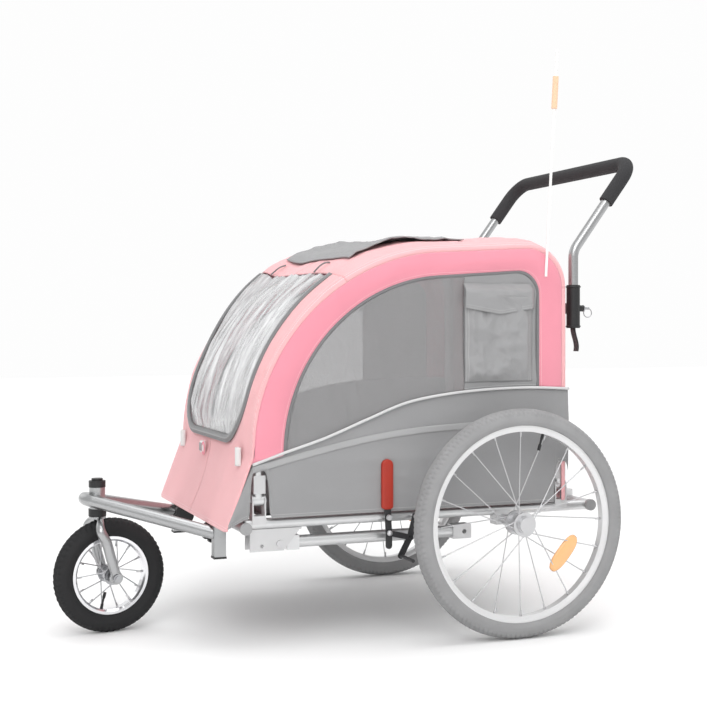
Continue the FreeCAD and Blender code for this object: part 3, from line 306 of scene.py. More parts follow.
def rounded_block(name, size, bevel, material, segments=3):
    """Block with rounded edges, centred on the origin."""
    shape = bmesh.new()
    bmesh.ops.create_cube(shape, size=1.0)
    bmesh.ops.scale(shape, vec=size, verts=shape.verts)
    bmesh.ops.bevel(shape, geom=shape.edges[:], offset=bevel, segments=segments, profile=0.5,
                    affect="EDGES")
    mesh = bpy.data.meshes.new(name)
    shape.to_mesh(mesh)
    shape.free()
    mesh.materials.append(material)
    mesh.polygons.foreach_set("use_smooth", [True] * len(mesh.polygons))
    return link(name, mesh)


def put(obj, position, rotation=Matrix.Identity(3)):
    """Move a piece's mesh into place, leaving the object at the origin."""
    obj.data.transform(Matrix.Translation(Vector(position)) @ rotation.to_4x4())
    return obj


# ------------------------------------------------------------------ materials

def new_material(name):
    material = bpy.data.materials.new(name)
    material.use_nodes = True
    return material, material.node_tree.nodes, material.node_tree.links, material.node_tree.nodes["Principled BSDF"]


def node(nodes, kind, **values):
    made = nodes.new(kind)
    for key, value in values.items():
        if key in made.inputs.keys():
            made.inputs[key].default_value = value
        else:
            setattr(made, key, value)
    return made


def math_node(nodes, links, operation, first, second=None, third=None):
    made = nodes.new("ShaderNodeMath")
    made.operation = operation
    for index, value in enumerate((first, second, third)):
        if value is None:
            continue
        if isinstance(value, (int, float)):
            made.inputs[index].default_value = value
        else:
            links.new(value, made.inputs[index])
    return made.outputs[0]


def mix_colour(nodes, links, factor, first, second):
    made = nodes.new("ShaderNodeMix")
    made.data_type = "RGBA"
    links.new(factor, made.inputs[0])
    for socket, value in ((made.inputs[6], first), (made.inputs[7], second)):
        if isinstance(value, tuple):
            socket.default_value = (*value[:3], 1)
        else:
            links.new(value, socket)
    return made.outputs[2]


def shade(colour, factor):
    return tuple(min(1.0, c * factor) for c in colour)


def bump_into(nodes, links, shader, height, strength, distance):
    bump = node(nodes, "ShaderNodeBump", Strength=strength, Distance=distance)
    links.new(height, bump.inputs["Height"])
    links.new(bump.outputs[0], shader.inputs["Normal"])


def weave_height(nodes, links, pitch):
    """Over-and-under thread height from the weave coordinates."""
    coordinates = node(nodes, "ShaderNodeUVMap", uv_map="weave")
    split = nodes.new("ShaderNodeSeparateXYZ")
    links.new(coordinates.outputs[0], split.inputs[0])
    turn = 2 * math.pi / pitch
    across = math_node(nodes, links, "SINE", math_node(nodes, links, "MULTIPLY", split.outputs[0], turn))
    along = math_node(nodes, links, "SINE", math_node(nodes, links, "MULTIPLY", split.outputs[1], turn))
    return math_node(nodes, links, "MULTIPLY", across, along)


def stitch_mask(nodes, links, rows=(0.004, 0.009)):
    """Rows of stitches at set distances from a sewn edge, from the seam coordinates."""
    coordinates = node(nodes, "ShaderNodeUVMap", uv_map="seam")
    split = nodes.new("ShaderNodeSeparateXYZ")
    links.new(coordinates.outputs[0], split.inputs[0])
    dash = math_node(nodes, links, "FRACT", math_node(nodes, links, "MULTIPLY", split.outputs[0],
                                                      1 / 0.0045))
    dash = math_node(nodes, links, "LESS_THAN", dash, 0.68)
    total = None
    for distance in rows:
        line = math_node(nodes, links, "COMPARE", split.outputs[1], distance, 0.0005)
        total = line if total is None else math_node(nodes, links, "MAXIMUM", total, line)
    return math_node(nodes, links, "MULTIPLY", total, dash)


def fabric(name, colour, pitch=0.0012, rough=0.72, depth=0.00025, variation=0.10, stitched=False,
           sheen=0.25, thread=None):
    material, nodes, links, shader = new_material(name)
    shader.inputs["Roughness"].default_value = rough
    shader.inputs["Sheen Weight"].default_value = sheen
    shader.inputs["Sheen Roughness"].default_value = 0.45
    shader.inputs["Specular IOR Level"].default_value = 0.35
    weave = weave_height(nodes, links, pitch)
    place = nodes.new("ShaderNodeTexCoord")
    broad = node(nodes, "ShaderNodeTexNoise", Scale=7.0, Detail=4.0, Roughness=0.55)
    fine = node(nodes, "ShaderNodeTexNoise", Scale=260.0, Detail=2.0)
    links.new(place.outputs["Object"], broad.inputs["Vector"])
    links.new(place.outputs["Object"], fine.inputs["Vector"])
    tone = mix_colour(nodes, links, broad.outputs["Fac"], shade(colour, 1 - variation), shade(colour,
                                                                                              1 + variation))
    threads = math_node(nodes, links, "MULTIPLY_ADD", weave, 0.10, 0.45)
    tone = mix_colour(nodes, links, threads, tone, shade(colour, 0.86))
    height = math_node(nodes, links, "MULTIPLY_ADD", fine.outputs["Fac"], 0.5, weave)
    if stitched:
        stitches = stitch_mask(nodes, links)
        tone = mix_colour(nodes, links, stitches, tone, thread or shade(colour, 1.25))
        height = math_node(nodes, links, "MULTIPLY_ADD", stitches, 2.5, height)
    links.new(tone, shader.inputs["Base Color"])
    bump_into(nodes, links, shader, height, 0.55, depth)
    return material


def mesh_fabric(name, colour, pitch, opaque, open_alpha):
    """Net: a grid of threads with see-through holes."""
    material = fabric(name, colour, pitch, rough=0.8, depth=0.0003, sheen=0.1)
    nodes, links = material.node_tree.nodes, material.node_tree.links
    shader = nodes["Principled BSDF"]
    weave = weave_height(nodes, links, pitch)
    holes = math_node(nodes, links, "MULTIPLY_ADD", weave, 0.5 * (opaque - open_alpha),
                      0.5 * (opaque + open_alpha))
    links.new(holes, shader.inputs["Alpha"])
    return material


def metal(name, colour, rough, metallic=1.0, streak=(6, 6, 90), depth=0.00005, coat=0.0, wear=0.08):
    material, nodes, links, shader = new_material(name)
    shader.inputs["Metallic"].default_value = metallic
    shader.inputs["Coat Weight"].default_value = coat
    shader.inputs["Coat Roughness"].default_value = 0.25
    place = nodes.new("ShaderNodeTexCoord")
    stretch = node(nodes, "ShaderNodeMapping", Scale=streak)
    grain = node(nodes, "ShaderNodeTexNoise", Scale=14.0, Detail=5.0)
    smear = node(nodes, "ShaderNodeTexNoise", Scale=9.0, Detail=3.0)
    links.new(place.outputs["Object"], stretch.inputs["Vector"])
    links.new(stretch.outputs[0], grain.inputs["Vector"])
    links.new(place.outputs["Object"], smear.inputs["Vector"])
    tone = mix_colour(nodes, links, smear.outputs["Fac"], shade(colour, 1 - wear), shade(colour,
                                                                                         1 + wear / 2))
    links.new(tone, shader.inputs["Base Color"])
    roughness = math_node(nodes, links, "MULTIPLY_ADD", grain.outputs["Fac"], 0.16, rough - 0.08)
    links.new(roughness, shader.inputs["Roughness"])
    bump_into(nodes, links, shader, grain.outputs["Fac"], 0.3, depth)
    return material


def moulded(name, colour, rough, grain_size=900.0, depth=0.0002, wear=0.12, coat=0.0):
    """Moulded plastic, rubber or foam with a fine pebbled skin and worn tone."""
    material, nodes, links, shader = new_material(name)
    shader.inputs["Coat Weight"].default_value = coat
    place = nodes.new("ShaderNodeTexCoord")
    pebble = node(nodes, "ShaderNodeTexVoronoi", Scale=grain_size)
    smear = node(nodes, "ShaderNodeTexNoise", Scale=22.0, Detail=5.0)
    links.new(place.outputs["Object"], pebble.inputs["Vector"])
    links.new(place.outputs["Object"], smear.inputs["Vector"])
    tone = mix_colour(nodes, links, smear.outputs["Fac"], shade(colour, 1 - wear), shade(colour,
                                                                                         1 + 2 * wear))
    links.new(tone, shader.inputs["Base Color"])
    roughness = math_node(nodes, links, "MULTIPLY_ADD", smear.outputs["Fac"], 0.2, rough - 0.1)
    links.new(roughness, shader.inputs["Roughness"])
    bump_into(nodes, links, shader, pebble.outputs["Distance"], 0.4, depth)
    return material


def clear_film():
    """Flexible clear film: milky and glossy, its colour streaked grey to near-white along it as painted reflections
    of its wrinkles.
    """
    material, nodes, links, shader = new_material("clear_film")
    shader.inputs["Roughness"].default_value = 0.10
    shader.inputs["Specular IOR Level"].default_value = 0.7
    shader.inputs["Coat Weight"].default_value = 0.6
    shader.inputs["Coat Roughness"].default_value = 0.05
    place = node(nodes, "ShaderNodeUVMap", uv_map="weave")
    stretch = node(nodes, "ShaderNodeMapping", Scale=(38, 5, 1))
    painted_reflection_streaks = node(nodes, "ShaderNodeTexNoise", Scale=1.0, Detail=6.0, Roughness=0.65)
    links.new(place.outputs[0], stretch.inputs["Vector"])
    links.new(stretch.outputs[0], painted_reflection_streaks.inputs["Vector"])
    # Painted reflections: the colour runs from grey to near-white along the streaks, standing in for light caught
    # in the film's wrinkles.
    tone = mix_colour(nodes, links, painted_reflection_streaks.outputs["Fac"], (0.56, 0.57, 0.58), (0.94, 0.94, 0.95))
    links.new(tone, shader.inputs["Base Color"])
    veil = node(nodes, "ShaderNodeMapRange", **{"From Min": 0.36, "From Max": 0.64, "To Min": 0.20,
                                                "To Max": 0.80})
    links.new(painted_reflection_streaks.outputs["Fac"], veil.inputs["Value"])
    links.new(veil.outputs["Result"], shader.inputs["Alpha"])
    bump_into(nodes, links, shader, painted_reflection_streaks.outputs["Fac"], 0.5, 0.003)
    return material


PINK_LIGHT = (0.91, 0.47, 0.490)
# Darker copy of the cover's pink for the side band: painted shade where the side turns from the light.
PINK_PAINTED_SHADE = (0.88, 0.32, 0.40)
GREY = (0.33, 0.33, 0.335)
MAT = {
    "pink": fabric("pink_cover", PINK_LIGHT, stitched=True, thread=(0.97, 0.66, 0.68)),
    # The side band's darker pink and darker stitch thread are painted shade.
    "pink_with_painted_shade": fabric("pink_side_band", PINK_PAINTED_SHADE, stitched=True, thread=(0.95, 0.55, 0.6)),
    "grey": fabric("grey_side_cloth", GREY, stitched=True, thread=(0.5, 0.5, 0.5)),
    "nylon": fabric("shiny_grey_nylon", (0.345, 0.345, 0.35), pitch=0.0009, rough=0.30, depth=0.0002,
                    sheen=0.0,
                    stitched=True, thread=(0.42, 0.42, 0.42)),
    "binding": fabric("grey_binding_tape", (0.22, 0.22, 0.225), pitch=0.0016, depth=0.0004),
    "piping": fabric("pale_piping", (0.66, 0.66, 0.665), pitch=0.0012, rough=0.5),
    "net": mesh_fabric("grey_window_net", (0.46, 0.46, 0.465), 0.0026, 0.66, 0.20),
    "roof_net": mesh_fabric("grey_roof_net", (0.35, 0.35, 0.355), 0.0026, 1.0, 0.85),
    "cushion": fabric("floor_mat_cloth", (0.30, 0.30, 0.31), pitch=0.002, depth=0.0005),
    "film": clear_film(),
    "webbing": fabric("black_webbing", (0.025, 0.025, 0.027), pitch=0.0022, depth=0.0006, rough=0.6),
    "reflective": fabric("reflective_tape", (0.40, 0.40, 0.405), pitch=0.0045, depth=0.0004, rough=0.35),
    "tab": fabric("white_tab", (0.80, 0.80, 0.79), pitch=0.0018, rough=0.55),
    "silver": metal("silver_tube", (0.42, 0.425, 0.43), 0.30, coat=0.25),
    "pale_silver": metal("pale_silver_tube", (0.66, 0.665, 0.67), 0.34, metallic=0.8, coat=0.2),
    "steel": metal("zinc_steel", (0.45, 0.455, 0.47), 0.32),
    "pale_steel": metal("pale_zinc_steel", (0.60, 0.60, 0.61), 0.35, metallic=0.85),
    "chrome": metal("chromed_rim", (0.80, 0.80, 0.82), 0.12, wear=0.03),
    "rim": metal("pale_rim", (0.72, 0.72, 0.725), 0.32, metallic=0.35, coat=0.3, wear=0.04),
    "bracket": metal("pale_bracket", (0.60, 0.60, 0.605), 0.42, metallic=0.5, streak=(40, 40, 40),
                     depth=0.0002),
    "black_metal": metal("black_coated_steel", (0.035, 0.035, 0.037), 0.42, metallic=0.3, streak=(60, 60,
                                                                                                  60)),
    "black_plastic": moulded("black_moulding", (0.012, 0.012, 0.013), 0.45),
    "grey_plastic": moulded("grey_moulding", (0.30, 0.30, 0.305), 0.5),
    "foam": moulded("black_foam", (0.028, 0.028, 0.030), 0.9, grain_size=1300.0, depth=0.0006),
    "tyre_grey": moulded("grey_tyre", (0.27, 0.27, 0.273), 0.75, grain_size=1500.0, depth=0.00015),
    "tyre_black": moulded("black_tyre", (0.011, 0.011, 0.012), 0.80, grain_size=1500.0, depth=0.00015),
    "red": moulded("red_grip", (0.36, 0.022, 0.008), 0.45, grain_size=700.0, wear=0.08),
    "orange": moulded("orange_lens", (0.93, 0.48, 0.20), 0.18, grain_size=420.0, depth=0.0012, wear=0.05,
                      coat=0.8),
    "orange_cloth": fabric("orange_flag_cloth", (0.93, 0.60, 0.40), rough=0.6),
    "white_rod": moulded("white_rod", (0.82, 0.82, 0.80), 0.35, grain_size=400.0, depth=0.0001),
    "board": moulded("floor_board", (0.14, 0.14, 0.145), 0.6),
}


def finish_node(name, material):
    """Give a kept part of the frame its material."""
    obj = NODES[name]
    obj.data.materials.clear()
    obj.data.materials.append(MAT[material])
    for polygon in obj.data.polygons:
        polygon.material_index = 0


def dress(obj, body, replaces=()):
    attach(obj, body)
    if replaces:
        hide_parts(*replaces)
    return obj


# ------------------------------------------------------------------ cabin cover

def window_loop(inset=0.0, arc_steps=22, side_steps=70):
    """Window outline as (s, x): down the left edge, round the bottom and up the right."""
    half = DOOR_HALF - inset
    corner = DOOR_CORNER - inset
    low = S_DOOR_LOW + inset
    down = [(s, half) for s in np.linspace(S_DOOR_TOP, low + corner, side_steps, endpoint=False)]
    arc = [(low + corner - corner * math.sin(a), half - corner + corner * math.cos(a))
           for a in np.linspace(0, math.pi / 2, arc_steps, endpoint=False)]
    half_loop = down + arc
    base = [(low, x) for x in np.linspace(half - corner, -(half - corner), 40)]
    return np.array(half_loop + base + [(s, -x) for s, x in half_loop[::-1]])


def front_cover():
    """Pink front with the window opening: ruled from the window's edge to the outer edge."""
    arc_steps, side_steps = 22, 70
    inner = window_loop(-0.001)
    outer = []
    inner_half = DOOR_HALF + 0.001
    split = arc_steps // 2
    for k, (s, x) in enumerate(inner[:side_steps + arc_steps]):
        if k < side_steps:
            outer.append((s, HALF))
        elif k < side_steps + split:
            outer.append((inner[side_steps][0] * (1 - (k - side_steps) / split), HALF))
        else:
            step = (k - side_steps - split) / (arc_steps - split)
            outer.append((0.0, HALF + (inner_half - DOOR_CORNER - 0.001 - HALF) * step))
    base = [(0.0, x) for _, x in inner[len(outer):len(outer) + 40]]
    outer = np.array(outer + base + [(s, -x) for s, x in outer[::-1]])
    ruled = 1 - (1 - np.linspace(0, 1, 26)) ** 1.7
    grid = inner[:, None, :] + (outer - inner)[:, None, :] * ruled[None, :, None]
    s, x = grid[..., 0], grid[..., 1]
    low_part = 1 - smoothstep(0.10, 0.24, s)
    folds = 0.0016 * crumple(x * 9 + 3, s * 7, 11) * low_part
    folds += 0.0022 * crumple(s * 16, x * 26, 13) * smoothstep(S_KNEE, S_KNEE + 0.1, s)
    folds *= smoothstep(0.0, 0.12, 1 - ruled)[None, :] * smoothstep(0.0, 0.1, ruled)[None, :]
    sag = -0.006 * low_part * (1 - (x / HALF) ** 2) * smoothstep(0.0, 0.08, s)
    points = shell(s, x, folds + sag)
    length = np.cumsum(np.concatenate([[0], np.linalg.norm(np.diff(inner, axis=0), axis=1)]))
    width = np.linalg.norm(outer - inner, axis=1)
    seam = np.stack([np.broadcast_to(length[:, None], s.shape), width[:, None] * (1 - ruled)[None, :]],
                    -1)
    return points, grid, seam


def split_halves(points, uv, seam, name, material):
    """Make a cover as left and right pieces, each with its mesh fixed in place."""
    middle = points.shape[0] // 2
    pieces = []
    for side, rows in (("left", slice(0, middle + 1)), ("right", slice(middle, None))):
        obj = cloth(name + "_" + side, points[rows], material, uv[rows], seam[rows])
        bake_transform(obj)
        pieces.append(obj)
    return pieces


def make_front():
    points, grid, seam = front_cover()
    pieces = split_halves(points, grid[..., ::-1], seam, "front_cover", MAT["pink"])
    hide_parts("front_panel")
    loop_width = window_loop(-0.001)
    hem = shell(loop_width[:, 0], loop_width[:, 1], 0.0012)
    dress(tube("window_edge_cord", hem, 0.0022, MAT["binding"], 8), "chassis")


def hang(obj, replaces=()):
    """Fix a window piece's mesh in place and hide the frame parts it replaces."""
    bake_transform(obj)
    if replaces:
        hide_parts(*replaces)


def make_window():
    """Clear film with draw folds, its zip tape, teeth and weather flap."""
    inset = 0.012
    half = DOOR_HALF - inset
    corner = DOOR_CORNER - inset
    low = S_DOOR_LOW + inset
    across = np.sin(np.linspace(-math.pi / 2, math.pi / 2, 121)) * half
    over = np.clip(np.abs(across) - (half - corner), 0, corner)
    bottom = low + corner - np.sqrt(np.maximum(corner ** 2 - over ** 2, 0))
    along = np.linspace(0, 1, 90)
    s = bottom[:, None] + (S_DOOR_TOP - 0.004 - bottom)[:, None] * along[None, :]
    x = np.broadcast_to(across[:, None], s.shape)
    edge = smoothstep(0.0, 0.05, half - np.abs(x)) * smoothstep(0, 0.10, along)[None, :]
    folds = 0.0065 * crumple(x * 24 + 0.8 * s, s * 2.2, 21) + 0.0030 * crumple(x * 60, s * 5 + x * 8, 25)
    folds += 0.004 * crumple(x * 9 - s * 6, s * 3, 27)
    points = shell(s, x, folds * edge - 0.004)
    uv = np.stack([x, s], -1)
    film = cloth("window_film", points, MAT["film"], uv, thickness=0.0008, flip=True)
    hang(film, ["front_door"])
    loop = window_loop(0.006)
    tape_rows = []
    for step, lift in ((-0.0068, 0.0), (-0.003, 0.0022), (0.0, 0.0028), (0.003, 0.0022),
                       (0.0075, -0.002)):
        ring = window_loop(0.006 + step)
        tape_rows.append(shell(ring[:, 0], ring[:, 1], lift))
    tape = np.stack(tape_rows, 1)
    lengths = np.cumsum(np.concatenate([[0], np.linalg.norm(np.diff(tape[:, 2], axis=0), axis=1)]))
    tape_uv = np.stack([np.broadcast_to(lengths[:, None], tape.shape[:2]),
                        np.broadcast_to(np.array([0, 0.004, 0.007, 0.010, 0.015])[None, :],
                                        tape.shape[:2])], -1)
    hang(cloth("window_zip_tape", tape, MAT["binding"], tape_uv, thickness=0.002))
    teeth_line = shell(loop[:, 0], loop[:, 1], 0.0036)
    ridge = 0.0016 + 0.0004 * (np.arange(len(teeth_line)) % 2)
    hang(tube("window_zip_teeth", teeth_line, ridge, MAT["grey_plastic"], 6))


def make_zip_pull():
    """Slider box, pull tab and a round red cord loop under the window."""
    spot = shell(np.array(S_DOOR_LOW - 0.026), np.array(-0.030), 0.006)
    box = put(rounded_block("slider", (0.022, 0.008, 0.026), 0.002, MAT["tab"]), spot)
    bars = [put(rounded_block("bar", (0.005, 0.004, 0.018), 0.0012, MAT["grey_plastic"]),
                spot + np.array([offset, -0.0045, 0])) for offset in (-0.0055, 0.0055)]
    angles = np.linspace(0, 2 * math.pi, 28, endpoint=False)
    ring = [spot + np.array([0.017 + 0.009 * math.cos(a), -0.003,
                             -0.002 + 0.014 * math.sin(a)]) for a in angles]
    loop = tube("loop", ring, 0.0013, MAT["pink_with_painted_shade"], 8, closed=True)
    dress(join("zip_pull", [box, *bars, loop]), "front_window")


def make_tabs():
    """Two rolled white tabs sewn on the front, one near each lower corner."""
    for name, x in (("left", 0.242), ("right", -0.242)):
        spot = shell(np.array(0.156), np.array(x), 0.006)
        rows = []
        for angle in np.linspace(-0.2, math.pi + 0.2, 15):
            px = x + 0.0095 * math.cos(angle)
            rows.append([(px, spot[1] - 0.0085 * math.sin(angle) + 0.002, spot[2] + 0.019 - 0.038 * v)
                         for v in np.linspace(0, 1, 9)])
        points = np.array(rows)
        uv = np.stack(np.meshgrid(np.linspace(0, 0.03, 15), np.linspace(0, 0.038, 9), indexing="ij"), -1)
        tab = cloth("front_tab_" + name, points, MAT["tab"], uv, thickness=0.0025, flip=False)
        dress(tab, "chassis")


COVER_COLUMNS = 81
COVER_MIDDLE = COVER_COLUMNS // 2


def cover_strip(s_low, s_high, x_low, x_high, rows, columns):
    """Sheet coordinates of a cover, with its columns closer together near its sides."""
    s = np.linspace(s_low, s_high, rows)[:, None]
    t = np.linspace(-1, 1, columns)
    even = np.sign(t) * (1 - (1 - np.abs(t)) ** 1.5)
    x = (x_low + x_high) / 2 + (x_high - x_low) / 2 * even[None, :]
    return np.broadcast_arrays(s, x)


def cover_halves(name, points, s, x, seam, stands_for):
    """Left and right halves of a cover, their meshes fixed in place; the frame part they stand for is hidden."""
    uv = np.stack([x, s], -1)
    for side, part in (("left", slice(COVER_MIDDLE, None)), ("right", slice(0, COVER_MIDDLE + 1))):
        obj = cloth(name + "_" + side, points[:, part], MAT["pink"], uv[:, part], seam[:, part],
                    flip=True)
        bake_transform(obj)
        if side == "left":
            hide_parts(stands_for)


def make_roof():
    """Pink roof with a net panel, and the grey cover rolled forward over it."""
    s, x = cover_strip(S_DOOR_TOP, S_REAR_TOP, -HALF, HALF, 110, COVER_COLUMNS)
    folds = 0.0030 * crumple(s * 9, x * 14, 31) + 0.0016 * crumple(s * 24, x * 10, 33)
    folds *= smoothstep(0.0, 0.04, HALF - np.abs(x)) * smoothstep(S_DOOR_TOP, S_DOOR_TOP + 0.03, s)
    folds *= 1 - smoothstep(S_REAR_TOP - 0.05, S_REAR_TOP, s)
    seam = np.stack([s, HALF - np.abs(x)], -1)
    cover_halves("roof_cover", shell(s, x, folds), s, x, seam, "roof_panel")
    s, x = cover_strip(S_DOOR_TOP + 0.055, S_DOOR_TOP + 0.33, -0.175, 0.215, 70, 60)
    wave = 0.004 * crumple(s * 13 + x * 5, x * 8, 35) + 0.0025 * crumple(s * 30, x * 18, 37)
    ends = smoothstep(0, 0.03, s - S_DOOR_TOP - 0.055)
    tail = 1 - smoothstep(S_DOOR_TOP + 0.28, S_DOOR_TOP + 0.33, s)
    lift = 0.0025 + tail * (0.0035 + wave * ends) + 0.003 * np.exp(-((s - S_DOOR_TOP - 0.085) / 0.022) ** 2)
    lift += 0.006 * smoothstep(0.12, 0.215, x) * np.exp(-((s - S_DOOR_TOP - 0.16) / 0.07) ** 2)
    shift = 0.014 * (noise(x * 16, np.full(x.shape, 0.5), 39) - 0.5) * (1 - smoothstep(0, 0.08,
                                                                                       s - S_DOOR_TOP - 0.055))
    flap = cloth("roof_net_flap", shell(s + shift, x, lift), MAT["roof_net"], np.stack([x, s], -1),
                 thickness=0.002,
                 flip=True)
    dress(flap, "chassis")


def make_tie_loops():
    """Two elastic loops that hold the rolled window."""
    for name, x in (("left", 0.150), ("right", -0.150)):
        line = []
        for step in np.linspace(0, 1, 24):
            s = S_DOOR_TOP - 0.002 + 0.040 * step
            side = 0.013 * math.sin(math.pi * step)
            line.append(shell(np.array(s), np.array(x + side), 0.004 + 0.007 * math.sin(math.pi * step)))
        dress(tube("tie_loop_" + name, line, 0.0019, MAT["binding"], 8), "chassis")


def make_rear():
    """Plain pink rear panel."""
    s, x = cover_strip(S_REAR_TOP, S_END, -HALF, HALF, 70, COVER_COLUMNS)
    puff = 0.006 * (1 - (x / HALF) ** 2) * np.sin(math.pi * (s - S_REAR_TOP) / (S_END - S_REAR_TOP))
    folds = 0.0022 * crumple(s * 11, x * 12, 41) * smoothstep(0.0, 0.04, HALF - np.abs(x))
    folds *= smoothstep(S_REAR_TOP, S_REAR_TOP + 0.03, s) * (1 - smoothstep(S_END - 0.03, S_END, s))
    points = shell(s, x, puff + folds)
    seam = np.stack([s, HALF - np.abs(x)], -1)
    cover_halves("rear_cover", points, s, x, seam, "rear_panel")


# ------------------------------------------------------------------ side panels

PIPING = [(-0.5660, 0.3830), (-0.509, 0.402), (-0.412, 0.432), (-0.321, 0.467), (-0.228, 0.501),
          (-0.134, 0.517),
          (-0.036, 0.525), (0.063, 0.527), (0.1600, 0.523)]
STRIP = [(-0.5660, 0.372), (-0.450, 0.400), (-0.270, 0.434), (-0.105, 0.447), (0.020, 0.449),
         (0.150, 0.446)]
BAND_ARC = (-0.130, 0.400)
BAND_RAD = 0.368
BAND_REAR_ARC = (0.036, 0.730)
BAND_REAR_RAD = 0.050
POCKET_FORE = -0.093


def piping_height(y):
    line = curve_points(PIPING, 200)
    return np.interp(y, line[:, 0], line[:, 1])


def band_inner(count):
    """Inner edge of the pink side band, from the front piping to the rear piping."""
    rise = math.atan2(BAND_REAR_ARC[1] - BAND_ARC[1], BAND_REAR_ARC[0] - BAND_ARC[0])
    spacing = math.hypot(BAND_REAR_ARC[0] - BAND_ARC[0], BAND_REAR_ARC[1] - BAND_ARC[1])
    top = rise + math.acos((BAND_RAD - BAND_REAR_RAD) / spacing)
    rows = [(BAND_ARC[0] + BAND_RAD * math.cos(a), BAND_ARC[1] + BAND_RAD * math.sin(a))
            for a in np.linspace(math.pi, top, 140)]
    rows += [(BAND_REAR_ARC[0] + BAND_REAR_RAD * math.cos(a),
              BAND_REAR_ARC[1] + BAND_REAR_RAD * math.sin(a))
             for a in np.linspace(top, 0, 60)]
    rows.append((BAND_REAR_ARC[0] + BAND_REAR_RAD, 0.527))
    line = np.array(rows)
    keep = line[:, 1] >= piping_height(line[:, 0]) - 0.012
    line = line[keep]
    steps = np.concatenate([[0], np.cumsum(np.linalg.norm(np.diff(line, axis=0), axis=1))])
    t = np.linspace(0, steps[-1], count)
    return np.stack([np.interp(t, steps, line[:, 0]), np.interp(t, steps, line[:, 1])], 1)


def band_outer(count):
    """Outer edge of the side band: the side outline inside its rolled edge."""
    start = float(np.interp(0.383, TABLE[:31, 1], LENGTHS[:31]))
    end = S_REAR_TOP + (REAR_ARC[1] - 0.523)
    s = np.linspace(start, end, count)
    y, z, ny, nz = outline(s)
    return np.stack([y - ny * roll(s), z - nz * roll(s)], 1)


def side_points(y, z, out, sign):
    return np.stack([sign * (HALF + out), y + AXLE_Y, z], -1)


def side_cloth(name, y, z, out, sign, material, seam=None, thickness=0.0016):
    points = side_points(y, z, out, sign)
    normal = grid_normals(points)[points.shape[0] // 2, points.shape[1] // 2]
    flip = normal[0] * sign < 0
    return cloth(name, points, material, np.stack([y, z], -1), seam, thickness, flip)


def make_band(side, sign):
    count = 150
    inner, outer = band_inner(count), band_outer(count)
    ruled = np.linspace(0, 1, 16)
    grid = inner[:, None, :] + (outer - inner)[:, None, :] * ruled[None, :, None]
    y, z = grid[..., 0], grid[..., 1]
    puff = 0.004 * np.sin(math.pi * ruled)[None, :]
    folds = 0.0026 * crumple(y * 9, z * 9, 51) * np.sin(math.pi * ruled)[None, :]
    length = np.cumsum(np.concatenate([[0], np.linalg.norm(np.diff(inner, axis=0), axis=1)]))
    width = np.linalg.norm(outer - inner, axis=1)
    seam = np.stack([np.broadcast_to(length[:, None], y.shape), width[:, None] * ruled[None, :] + 0.002],
                    -1)
    # The band's darker pink is painted shade.
    band = side_cloth("side_band_" + side, y, z, puff + folds, sign, MAT["pink_with_painted_shade"], seam)
    dress(band, side + "_side", ["side_panel_" + side])
    rows = [inner + (outer - inner) * f for f in (-0.10, -0.03, 0.03)]
    tape = np.stack(rows, 1)
    bind = side_cloth("band_binding_" + side, tape[..., 0], tape[..., 1],
                      np.broadcast_to(np.array([0.0, 0.0022, 0.001]), tape.shape[:2]), sign,
                      MAT["binding"])
    dress(bind, side + "_side")


def window_top(y):
    line = band_inner(200)
    return np.interp(y, line[:, 0], line[:, 1])


def make_side_window(side, sign):
    """Net window ahead of the pocket and plain grey cloth behind it."""
    line = band_inner(200)
    front = line[0, 0] + 0.0005
    for name, start, stop, material, seed in (("net", front, POCKET_FORE, "net", 61),
                                              ("back", POCKET_FORE, 0.084, "grey", 63)):
        columns = 90 if name == "net" else 40
        y = np.linspace(start, stop, columns)[:, None]
        v = np.linspace(0, 1, 50)[None, :]
        low = piping_height(y)
        high = np.maximum(np.interp(y, line[:150, 0], line[:150, 1]) if name == "net" else window_top(y),
                          low + 0.0005)
        z = low + (high - low) * v
        y = np.broadcast_to(y, z.shape)
        slack = smoothstep(0, 0.1, v) * smoothstep(0, 0.1, 1 - v)
        out = -0.003 * np.sin(math.pi * v) + slack * 0.0028 * crumple(y * 14 + z * 2, z * 3, seed)
        seam = np.stack([y, (z - low) + 0.003], -1)
        piece = side_cloth("side_%s_%s" % (name, side), y, z, out, sign, MAT[material], seam, 0.0012)
        dress(piece, side + "_side")


def lower_edge(y):
    """Lower hem of the side cloth, arched up over each hinge bracket."""
    hem = np.interp(y, [SKIRT_FOOT[0], -0.580], [SKIRT_FOOT[1] + 0.003, 0.2725])
    for station, width, top in ((-0.5505, 0.0215, 0.370), (0.1445, 0.0195, 0.362)):
        near = np.abs(y - station) / width
        arch = top - (top - 0.2725) * np.clip(near, 0, 1) ** 6
        hem = np.where(near < 1, np.maximum(hem, arch), hem)
    return hem


